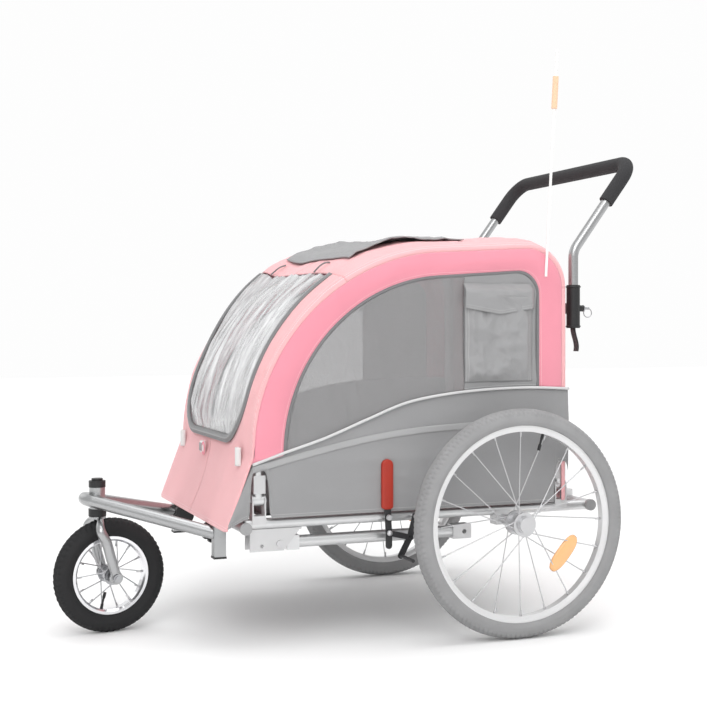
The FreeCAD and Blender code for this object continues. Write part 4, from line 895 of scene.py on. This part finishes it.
def make_lower_cloth(side, sign):
    """Grey cloth below the piping, from the flared front edge to the rear corner."""
    stops = [-0.6170, -0.5715, -0.5295, 0.1245, 0.1600]
    steps = [14, 40, 150, 36]
    y = np.concatenate([np.linspace(a, b, n, endpoint=False) for a, b, n in zip(stops, stops[1:],
                                                                                steps)] + [[stops[-1]]])
    v = np.linspace(0, 1, 42)
    top = piping_height(np.maximum(y, PIPING[0][0]))
    flare = np.interp(y, [SKIRT_FOOT[0] + 0.002, -0.564], [SKIRT_FOOT[1] + 0.004, 0.383])
    top = np.where(y < -0.566, flare, top)
    z = lower_edge(y)[:, None] + (top - lower_edge(y))[:, None] * v[None, :]
    yy = np.broadcast_to(y[:, None], z.shape)
    mid = np.sin(math.pi * v)[None, :]
    out = 0.003 * mid + 0.0022 * crumple(yy * 7, z * 12, 71) * mid
    out = out + 0.0016 * crumple(yy * 3 + z * 4, z * 22, 73) * mid
    seam = np.stack([yy, z - lower_edge(y)[:, None] + 0.002], -1)
    lower = side_cloth("side_cloth_" + side, yy, z, out, sign, MAT["grey"], seam)
    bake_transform(lower)
    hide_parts("side_skirts")
    cord = curve_points(PIPING, 90)
    cord_line = side_points(cord[:, 0], cord[:, 1], np.full(len(cord), 0.0045), sign)
    dress(tube("piping_" + side, cord_line, 0.0030, MAT["piping"], 10), side + "_side")
    middle = curve_points(STRIP, 120)
    across = np.array([-0.007, -0.0035, 0.0, 0.0035, 0.007])
    y = np.broadcast_to(middle[:, :1], (120, 5))
    z = middle[:, 1:] + across[None, :]
    share = (z - lower_edge(y)) / (piping_height(y) - lower_edge(y))
    under = 0.003 * np.sin(math.pi * share)
    under = under + (0.0022 * crumple(y * 7, z * 12, 71) + 0.0016 * crumple(y * 3 + z * 4, z * 22,
                                                                            73)) * np.sin(
        math.pi * share)
    tape = side_cloth("reflective_strip_" + side, y, z, under + 0.0014, sign, MAT["reflective"],
                      thickness=0.001)
    dress(tape, side + "_side")


def make_pocket(side, sign):
    """Shiny pouch with a pointed flap over it."""
    fore, aft, low, high = POCKET_FORE, 0.069, 0.541, 0.753
    t = np.linspace(0, 1, 46)
    y = (fore + (aft - fore) * t)[:, None]
    v = np.linspace(0, 1, 46)[None, :]
    z = low + (0.725 - low) * v + 0 * y
    y = y + 0 * v
    edge = np.minimum(smoothstep(0, 0.12, t)[:, None] * smoothstep(0, 0.12, 1 - t)[:, None],
                      smoothstep(0, 0.10, v))
    body = 0.002 + edge * (0.007 + 0.0065 * crumple(y * 22 + z * 14, z * 13, 81) + 0.003 * crumple(y * 46,
                                                                                                   z * 38,
                                                                                                   83))
    seam = np.stack([y, np.minimum((y - fore), (aft - y)) + 0.001], -1)
    pouch = side_cloth("pocket_pouch_" + side, y, z, body, sign, MAT["nylon"], seam)
    dress(pouch, side + "_side", ["pocket_" + side])
    tip = 0.700 - 0.014 * (1 - np.abs(2 * t - 1))
    z = tip[:, None] + (high - tip)[:, None] * v
    y = (fore - 0.003 + (aft + 0.006 - fore) * t)[:, None] + 0 * v
    out = 0.0105 + 0.002 * np.sin(math.pi * v) - 0.009 * smoothstep(0.75, 1,
                                                                    v) + 0.0032 * crumple(y * 18 + z * 9,
                                                                                          z * 24, 85)
    out = out - 0.006 * smoothstep(0.94, 1, t)[:, None]
    seam = np.stack([y, z - tip[:, None] + 0.001], -1)
    flap = side_cloth("pocket_flap_" + side, y, z, out, sign, MAT["nylon"], seam, 0.002)
    dress(flap, side + "_side")


# ------------------------------------------------------------------ floor mat

MAT_CHANNELS = 5
MAT_PUFF = 0.008
MAT_VOXEL = 0.006
MAT_PRESSURE = 4.0
MAT_FRAMES = 20


def puffed(points):
    """Blow up a closed flat cushion by cloth simulation; its seams are held still."""
    columns, rows = points.shape[:2]
    top = points.reshape(-1, 3)
    count = len(top)
    base = top - np.array([0, 0, 0.005])
    index = np.arange(count).reshape(columns, rows)
    faces = []
    for i in range(columns - 1):
        for j in range(rows - 1):
            a, b, c, d = (int(index[i, j]), int(index[i + 1, j]), int(index[i + 1, j + 1]),
                          int(index[i, j + 1]))
            faces.append((a, b, c, d))
            faces.append((d + count, c + count, b + count, a + count))
    rim = list(index[:, 0]) + list(index[-1, 1:]) + list(index[-2::-1, -1]) + list(index[0, -2:0:-1])
    for a, b in zip(rim, rim[1:] + rim[:1]):
        faces.append((int(b), int(a), int(a) + count, int(b) + count))
    obj = build("cushion_blank", np.concatenate([top, base]), faces, MAT["cushion"])
    remesh = obj.modifiers.new("remesh", "REMESH")
    remesh.mode = "VOXEL"
    remesh.voxel_size = MAT_VOXEL
    apply_modifiers(obj)
    size = len(obj.data.vertices)
    flat = np.empty(size * 3)
    obj.data.vertices.foreach_get("co", flat)
    flat = flat.reshape(-1, 3)
    low, high = flat.min(0), flat.max(0)
    v = (flat[:, 1] - low[1]) / (high[1] - low[1]) * MAT_CHANNELS
    channel = np.abs(v - np.round(v)) < 0.03
    edge = np.minimum(flat[:, 0] - low[0], high[0] - flat[:, 0]) < 0.006
    under = flat[:, 2] < (low[2] + high[2]) / 2 - 0.001
    held = obj.vertex_groups.new(name="seams")
    held.add([int(k) for k in np.nonzero(channel | edge | under)[0]], 1.0, "REPLACE")
    sim = obj.modifiers.new("cloth", "CLOTH")
    sim.settings.quality = 5
    sim.settings.use_pressure = True
    sim.settings.uniform_pressure_force = MAT_PRESSURE
    sim.settings.vertex_group_mass = "seams"
    sim.settings.effector_weights.gravity = 0.0
    sim.point_cache.frame_start = 1
    sim.point_cache.frame_end = MAT_FRAMES
    for step in range(1, MAT_FRAMES + 1):
        bpy.context.scene.frame_set(step)
    apply_modifiers(obj)
    bpy.context.scene.frame_set(1)
    moved = np.empty(size * 3)
    obj.data.vertices.foreach_get("co", moved)
    shift = moved.reshape(-1, 3) - flat
    length = np.linalg.norm(shift, axis=1, keepdims=True)
    shift *= MAT_PUFF / np.maximum(length, MAT_PUFF)
    obj.data.vertices.foreach_set("co", (flat + shift).ravel())
    obj.data.update()
    result = np.empty(size * 3)
    obj.data.vertices.foreach_get("co", result)
    result = result.reshape(-1, 3)
    mesh = obj.data
    bpy.data.objects.remove(obj)
    bpy.data.meshes.remove(mesh)
    return flat, result


def apply_modifiers(obj):
    """Bake the modifiers into the mesh."""
    graph = bpy.context.evaluated_depsgraph_get()
    baked = bpy.data.meshes.new_from_object(obj.evaluated_get(graph))
    obj.modifiers.clear()
    obj.data = baked


def make_mat():
    """Quilted floor mat: cloth simulation puffs it between its sewn channels."""
    low, high = (np.array(c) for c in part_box("floor_mat"))
    size = high - low
    columns, rows = 60, 80
    u, v = np.meshgrid(np.linspace(-1, 1, columns), np.linspace(-1, 1, rows), indexing="ij")
    x = (low[0] + high[0]) / 2 + u * size[0] / 2 * 0.99
    y = (low[1] + high[1]) / 2 + v * size[1] / 2 * 0.99
    flat = np.stack([x, y, np.full_like(x, low[2] + 0.0062)], -1)
    uv = np.stack([x, y], -1)
    edge = np.clip(1 - u ** 8, 0, 1) * np.clip(1 - v ** 8, 0, 1)
    channels = np.abs(np.sin(0.5 * MAT_CHANNELS * math.pi * (v + 1))) ** 0.35
    lift = 0.0075 * edge ** 0.4 * channels
    before, after = puffed(flat)
    tree = KDTree(len(before))
    for k, point in enumerate(before):
        tree.insert(Vector((point[0], point[1], 0 if point[2] > before[:, 2].mean() else 1)), k)
    tree.balance()
    lift = np.array([[after[tree.find(Vector((flat[i, j, 0], flat[i, j, 1], 0)))[1],
                            2] for j in range(rows)]
                     for i in range(columns)]) - flat[..., 2]
    lift = lift + 0.0012 * crumple(u * 5, v * 6, 91) * edge
    flat[..., 2] += lift
    mat = cloth("floor_cushion", flat, MAT["cushion"], uv, thickness=0.001)
    for vertex in mat.data.vertices[columns * rows:]:
        vertex.co.z = low[2] + 0.0003
    dress(mat, "chassis", ["floor_mat"])


# ------------------------------------------------------------------ wheels

def tyre_mesh(name, hub, axis_angle, outer, half, bead, tread, material, pitch_count):
    """Tyre as a closed section swept round the wheel, its tread raised in blocks."""
    section = 34
    around = pitch_count * 6
    tube_rad = half
    ring_rad = outer - half
    limit = math.acos(max(-1.0, min(1.0, (bead - ring_rad) / tube_rad)))
    phi = np.linspace(-limit, limit, section)
    theta = np.linspace(0, 2 * math.pi, around, endpoint=False)
    p, t = np.meshgrid(phi, theta)
    raised = tread(p, t * pitch_count / (2 * math.pi))
    r = tube_rad - 0.0022 + raised
    radial = ring_rad + r * np.cos(p)
    across = r * np.sin(p)
    points = np.stack([across, radial * np.cos(t), radial * np.sin(t)], -1)
    inner = np.stack([across[:, [-1, 0]] * 0.86, np.full((around, 2), bead - 0.001) * np.cos(t[:, :2]),
                      np.full((around, 2), bead - 0.001) * np.sin(t[:, :2])], -1)
    ring = np.concatenate([points, inner], axis=1)
    width = ring.shape[1]
    index = np.arange(around * width).reshape(around, width)
    nxt = np.roll(index, -1, axis=0)
    faces = np.stack([index, np.roll(index, -1, 1), np.roll(nxt, -1, 1), nxt], -1).reshape(-1, 4)
    turn = Matrix.Rotation(axis_angle, 3, "Z")
    vertices = ring.reshape(-1, 3) @ np.array(turn).T + np.array(hub)
    return build(name, vertices, faces, material)


def road_tread(p, u):
    """Centre rib with slanted side blocks and a row of small shoulder blocks."""
    lean = u + 1.1 * np.abs(np.sin(p))
    block = smoothstep(0.12, 0.2, lean % 1) * (1 - smoothstep(0.82, 0.9, lean % 1))
    side = np.abs(np.sin(p))
    centre_rib = 1 - smoothstep(0.10, 0.14, side)
    middle = smoothstep(0.19, 0.22, side) * (1 - smoothstep(0.50, 0.54, side)) * block
    shoulder = smoothstep(0.60, 0.63, side) * (1 - smoothstep(0.84, 0.88, side)) * block
    top = np.cos(p) > 0.25
    bead_line = 0.0007 * (np.abs(np.cos(p) + 0.15) < 0.09)
    return 0.0022 * np.clip(centre_rib + middle + shoulder, 0, 1) * top + 0.0006 + bead_line


def block_tread(p, u):
    """Chunky stepped blocks for the small front tyre."""
    side = np.abs(np.sin(p))
    left = (u + 0.5 * (p > 0)) % 1
    block = smoothstep(0.08, 0.18, left) * (1 - smoothstep(0.62, 0.72, left))
    rows = (side < 0.34) * block + (side > 0.42) * (side < 0.80) * np.roll(block, 3, axis=0)
    top = np.cos(p) > 0.35
    rib = 0.0008 * (np.abs(np.cos(p) - 0.02) < 0.07)
    return 0.0026 * np.clip(rows, 0, 1) * top + 0.0005 + rib


def valve(name, hub, axis_angle, rim_rad, angle, body):
    """Tyre valve with a cap, pointing to the hub."""
    turn = Matrix.Rotation(axis_angle, 3, "Z")
    direction = np.array([0, math.cos(angle), math.sin(angle)])
    stem = [direction * r for r in (rim_rad, rim_rad - 0.012, rim_rad - 0.013, rim_rad - 0.024,
                                    rim_rad - 0.026,
                                    rim_rad - 0.038)]
    points = [np.array(turn @ Vector(p)) + np.array(hub) for p in stem]
    piece = tube(name, points, [0.0030, 0.0030, 0.0024, 0.0024, 0.0036, 0.0034], MAT["black_plastic"], 12)
    dress(piece, body)


def nipples(name, hub, axis_angle, rim_rad, count, body):
    """Spoke nipples seated in the rim."""
    turn = Matrix.Rotation(axis_angle, 3, "Z")
    pieces = []
    for k in range(count):
        angle = 2 * math.pi * k / count
        offset = 0.002 * (1 if k % 2 else -1)
        ends = [Vector((offset, r * math.cos(angle), r * math.sin(angle))) for r in
                (rim_rad, rim_rad - 0.003, rim_rad - 0.012)]
        points = [np.array(turn @ p) + np.array(hub) for p in ends]
        pieces.append(tube("nipple", points, [0.0028, 0.0024, 0.0018], MAT["pale_steel"], 8))
    dress(join(name, pieces), body)


def make_reflector(side, sign):
    """Orange lens with a rounded outline and a stepped, domed face."""
    spot = centre("reflector_" + side)
    tilt = Matrix.Rotation(math.radians(49.9), 3, "X")
    rows = []
    for r in (1.0, 0.93, 0.80, 0.0):
        height = {1.0: 0.0, 0.93: 0.0030, 0.80: 0.0042, 0.0: 0.0046}[r]
        ring = []
        for a in np.linspace(0, 2 * math.pi, 48, endpoint=False):
            ca, sa = math.cos(a), math.sin(a)
            ring.append((height, 0.046 * r * np.sign(ca) * abs(ca) ** 0.72,
                         0.0165 * r * np.sign(sa) * abs(sa) ** 0.8))
        rows.append(ring)
    points = np.array(rows)
    count = points.shape[1]
    front = points.reshape(-1, 3) * np.array([sign, 1, 1])
    back = front.copy()
    back[:, 0] = -back[:, 0] * 0.6
    faces = []
    for k in range(3):
        for j in range(count):
            a, b = k * count + j, k * count + (j + 1) % count
            faces.append((a, b, b + count, a + count))
            faces.append((a + 4 * count, a + 5 * count, b + 5 * count, b + 4 * count))
    for j in range(count):
        faces.append((j, j + 4 * count, (j + 1) % count + 4 * count, (j + 1) % count))
    lens = build("reflector_lens_" + side, np.concatenate([front, back]), faces, MAT["orange"])
    clean = bmesh.new()
    clean.from_mesh(lens.data)
    bmesh.ops.remove_doubles(clean, verts=clean.verts, dist=1e-6)
    bmesh.ops.recalc_face_normals(clean, faces=clean.faces)
    clean.to_mesh(lens.data)
    clean.free()
    put(lens, spot, tilt)
    body = "rear_wheel_" + side
    dress(lens, body, ["reflector_" + side])


def make_wheels():
    for side, sign in (("left", 1), ("right", -1)):
        body = "rear_wheel_" + side
        hub = centre("rear_rim_" + side)
        rim_low, rim_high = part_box("rear_rim_" + side)
        rim_rad = (rim_high[2] - rim_low[2]) / 2
        outer = (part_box("rear_tyre_" + side)[1][2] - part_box("rear_tyre_" + side)[0][2]) / 2
        tyre = tyre_mesh("rear_tread_" + side, hub, 0.0, outer, 0.022, rim_rad, road_tread,
                         MAT["tyre_grey"], 132)
        dress(tyre, body, ["rear_tyre_" + side])
        nipples("rear_nipples_" + side, hub, 0.0, rim_rad - 0.014, 20, body)
        valve("rear_valve_" + side, hub, 0.0, rim_rad - 0.012, math.radians(74), body)
        make_reflector(side, sign)
    spin = next(j for j in frame["joints"] if j["name"] == "front_spin")
    hub = Vector(spin["pos_m"])
    steer = math.atan2(spin["axis"][1], spin["axis"][0])
    rim_low, rim_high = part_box("front_rim")
    rim_rad = (rim_high[2] - rim_low[2]) / 2
    outer = (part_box("front_tyre")[1][2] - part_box("front_tyre")[0][2]) / 2
    tyre = tyre_mesh("front_tread", hub, steer, outer, 0.0215, rim_rad, block_tread, MAT["tyre_black"],
                     58)
    dress(tyre, "front_wheel", ["front_tyre"])
    nipples("front_nipples", hub, steer, rim_rad - 0.010, 14, "front_wheel")
    valve("front_valve", hub, steer, rim_rad - 0.008, math.radians(-105), "front_wheel")


# ------------------------------------------------------------------ handle, brake, small parts

def make_brake_grip():
    """Red moulded grip with a domed top and three moulded dots."""
    low, high = (Vector(c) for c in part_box("brake_grip"))
    middle = (low + high) / 2
    size = high - low
    rows = []
    for k, f in enumerate(np.linspace(0, 1, 40)):
        round_top = math.sqrt(max(0.0, 1 - max(0.0, (f - 0.88) / 0.12) ** 2))
        round_low = math.sqrt(max(0.0, 1 - max(0.0, (0.04 - f) / 0.04) ** 2))
        scale = max(0.12, round_top) * max(0.5, round_low)
        ring = []
        for a in np.linspace(0, 2 * math.pi, 36, endpoint=False):
            ca, sa = math.cos(a), math.sin(a)
            ring.append((np.sign(ca) * abs(ca) ** 0.55 * size.x / 2 * (0.6 + 0.4 * scale),
                         np.sign(sa) * abs(sa) ** 0.55 * size.y / 2 * scale, (f - 0.5) * size.z))
        rows.append(ring)
    points = np.array(rows)
    rings, count = points.shape[:2]
    faces = []
    for k in range(rings - 1):
        for j in range(count):
            a, b = k * count + j, k * count + (j + 1) % count
            faces.append((a, b, b + count, a + count))
    faces.append(tuple(range(count))[::-1])
    faces.append(tuple(range((rings - 1) * count, rings * count)))
    grip = put(build("brake_grip_skin", points.reshape(-1, 3), faces, MAT["red"]), middle)
    dots = [put(rounded_block("dot", (0.0016, 0.0034, 0.0034), 0.0007, MAT["red"]),
                (high.x, middle.y, low.z + size.z * f)) for f in (0.17, 0.50, 0.82)]
    dress(join("brake_handle", [grip, *dots]), "brake_lever", ["brake_grip"])


def make_brake_bolts():
    """Domed bolt heads on three of the brake's four pins."""
    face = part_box("brake_link")[1][0]
    for name, y, z, body in (("lever_pivot", -0.273, 0.262, "brake_lever"), ("lever_link", -0.271, 0.229,
                                                                             "brake_lever"),
                             ("arm_pivot", -0.211, 0.261, "brake_arm")):
        line = [(face + depth, y + AXLE_Y, z) for depth in (0.0, 0.0008, 0.0016, 0.0034, 0.0042)]
        head = tube("brake_bolt_" + name, line, [0.0062, 0.0062, 0.0048, 0.0042, 0.0022],
                    MAT["pale_steel"], 16)
        dress(head, body)


def make_straps():
    """Short webbing tails below the handle sockets."""
    low, high = (Vector(c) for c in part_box("handle_straps"))
    for side, sign in (("left", 1), ("right", -1)):
        x0 = sign * (high.x - 0.010)
        u = np.linspace(-1, 1, 9)[:, None]
        v = np.linspace(0, 1, 30)[None, :]
        x = x0 + 0.0098 * u + 0.004 * v * sign
        y = low.y + 0.0012 + 0.010 * np.sin(v * 2.6) * v + 0 * u
        z = high.z - (high.z - low.z) * v + 0 * u
        points = np.stack(np.broadcast_arrays(x, y, z), -1)
        uv = np.stack(np.broadcast_arrays(u * 0.01, v * 0.052), -1)
        tail = cloth("strap_tail_" + side, points, MAT["webbing"], uv, thickness=0.0018)
        dress(tail, "chassis", ["handle_straps"] if sign > 0 else ())


def make_collars():
    """Raised rings at the top and the bottom of each handle socket."""
    for side, sign in (("left", 1), ("right", -1)):
        low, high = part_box("handle_sockets")
        x = sign * (high[0] - 0.015)
        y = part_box("handle_tube")[0][1] + 0.011
        rings = []
        for z in (high[2] - 0.004, low[2] + 0.004):
            angles = np.linspace(0, 2 * math.pi, 32, endpoint=False)
            rings.append(tube("ring", [(x + 0.0152 * math.cos(a), y + 0.0152 * math.sin(a),
                                        z) for a in angles],
                              0.0018, MAT["black_plastic"], 8, closed=True))
        dress(join("socket_rings_" + side, rings), "chassis")


KEPT = {
    "base_frame": "pale_silver", "crossbar_caps": "grey_plastic", "rail_brackets": "bracket",
    "frame_bolts": "pale_steel", "axle_carriers": "bracket", "rear_axles": "pale_steel",
        "arm_pegs": "silver",
    "floor_board": "board", "rear_posts": "pale_silver", "handle_sockets": "black_plastic",
    "tow_bracket": "bracket", "flag_pole": "white_rod", "flag_sleeve": "orange_cloth",
    "hoop_left": "pale_silver", "hoop_right": "pale_silver", "hinge_feet_left": "bracket",
    "hinge_feet_right": "bracket", "arm_tube": "silver", "head_tube": "silver", "arm_posts": "silver",
    "arm_caps": "black_plastic", "fork": "silver", "front_axle": "steel", "front_rim": "chrome",
    "front_spokes": "steel", "front_hub": "steel", "handle_tube": "silver", "handle_grip": "foam",
    "pull_pin_left": "steel", "pull_pin_right": "steel", "knob_left": "black_plastic",
    "knob_right": "black_plastic", "tow_tube": "pale_silver", "tow_coupler": "bracket",
    "brake_lever": "black_metal", "brake_link": "black_metal", "brake_arm": "black_metal",
    "rear_rim_left": "rim", "rear_rim_right": "rim", "rear_spokes_left": "pale_steel",
    "rear_spokes_right": "pale_steel", "rear_hub_left": "pale_steel", "rear_hub_right": "pale_steel",
}


def make_stage():
    """Pale floor, soft light and the camera."""
    floor = bpy.data.meshes.new("floor")
    floor.from_pydata([(-14, -14, 0), (14, -14, 0), (14, 14, 0), (-14, 14, 0)], [], [(0, 1, 2, 3)])
    ground = link("studio_floor", floor)
    material, nodes, links, shader = new_material("studio_floor")
    shader.inputs["Base Color"].default_value = (0.93, 0.93, 0.93, 1)
    shader.inputs["Roughness"].default_value = 0.85
    place = nodes.new("ShaderNodeTexCoord")
    reach = nodes.new("ShaderNodeVectorMath")
    reach.operation = "LENGTH"
    links.new(place.outputs["Object"], reach.inputs[0])
    glow = node(nodes, "ShaderNodeMapRange", **{"From Min": 1.6, "From Max": 7.0, "To Min": 0.0,
                                                "To Max": 0.34})
    links.new(reach.outputs["Value"], glow.inputs["Value"])
    links.new(glow.outputs["Result"], shader.inputs["Emission Strength"])
    shader.inputs["Emission Color"].default_value = (1, 1, 1, 1)
    floor.materials.append(material)
    world = bpy.data.worlds.new("studio")
    bpy.context.scene.world = world
    world.use_nodes = True
    sky, wires = world.node_tree.nodes, world.node_tree.links
    place = sky.new("ShaderNodeTexCoord")
    facing = sky.new("ShaderNodeVectorMath")
    facing.operation = "DOT_PRODUCT"
    facing.inputs[1].default_value = (-0.93, 0.36, 0.05)
    wires.new(place.outputs["Generated"], facing.inputs[0])
    ramp = node(sky, "ShaderNodeMapRange", **{"From Min": 0.55, "From Max": 0.90, "To Min": 0.76,
                                              "To Max": 0.985})
    ramp.interpolation_type = "SMOOTHSTEP"
    wires.new(facing.outputs["Value"], ramp.inputs["Value"])
    wires.new(ramp.outputs["Result"], sky["Background"].inputs["Strength"])
    sky["Background"].inputs["Color"].default_value = (1, 1, 1, 1)
    for name, place, power, size in (("key", (3.6, -1.6, 3.6), 90, 3.0), ("fill", (-3.0, -2.5, 2.6), 15,
                                                                          3.0),
                                     ("top", (0.4, 0.6, 4.2), 80, 3.5)):
        light = bpy.data.lights.new(name, "AREA")
        light.energy = power
        light.size = size
        lamp = bpy.data.objects.new(name, light)
        bpy.context.scene.collection.objects.link(lamp)
        lamp.location = place
        lamp.rotation_euler = (Vector((0, 0, 0.5)) - Vector(place)).to_track_quat("-Z", "Y").to_euler()
    camera = bpy.data.cameras.new("camera")
    camera.lens = 66.0
    camera.sensor_width = 36.0
    eye = bpy.data.objects.new("camera", camera)
    bpy.context.scene.collection.objects.link(eye)
    yaw, pitch, roll = math.radians(159.15), math.radians(-1.255), math.radians(-0.16)
    forward = Vector((math.cos(pitch) * math.cos(yaw), math.cos(pitch) * math.sin(yaw), math.sin(pitch)))
    turn = forward.to_track_quat("-Z", "Y").to_matrix()
    eye.matrix_world = (Matrix.Translation((2.808, -1.302 + AXLE_Y, 0.664))
                        @ (turn @ Matrix.Rotation(roll, 3, "Z")).to_4x4())
    bpy.context.scene.camera = eye
    bpy.context.scene.view_settings.view_transform = "Standard"


make_stage()
for kept, finish_name in KEPT.items():
    finish_node(kept, finish_name)
make_front()
make_window()
make_zip_pull()
make_tabs()
make_roof()
make_tie_loops()
make_rear()
for side_name, side_sign in (("left", 1), ("right", -1)):
    make_band(side_name, side_sign)
    make_side_window(side_name, side_sign)
    make_lower_cloth(side_name, side_sign)
    make_pocket(side_name, side_sign)
make_mat()
make_wheels()
make_brake_grip()
make_brake_bolts()
make_straps()
make_collars()
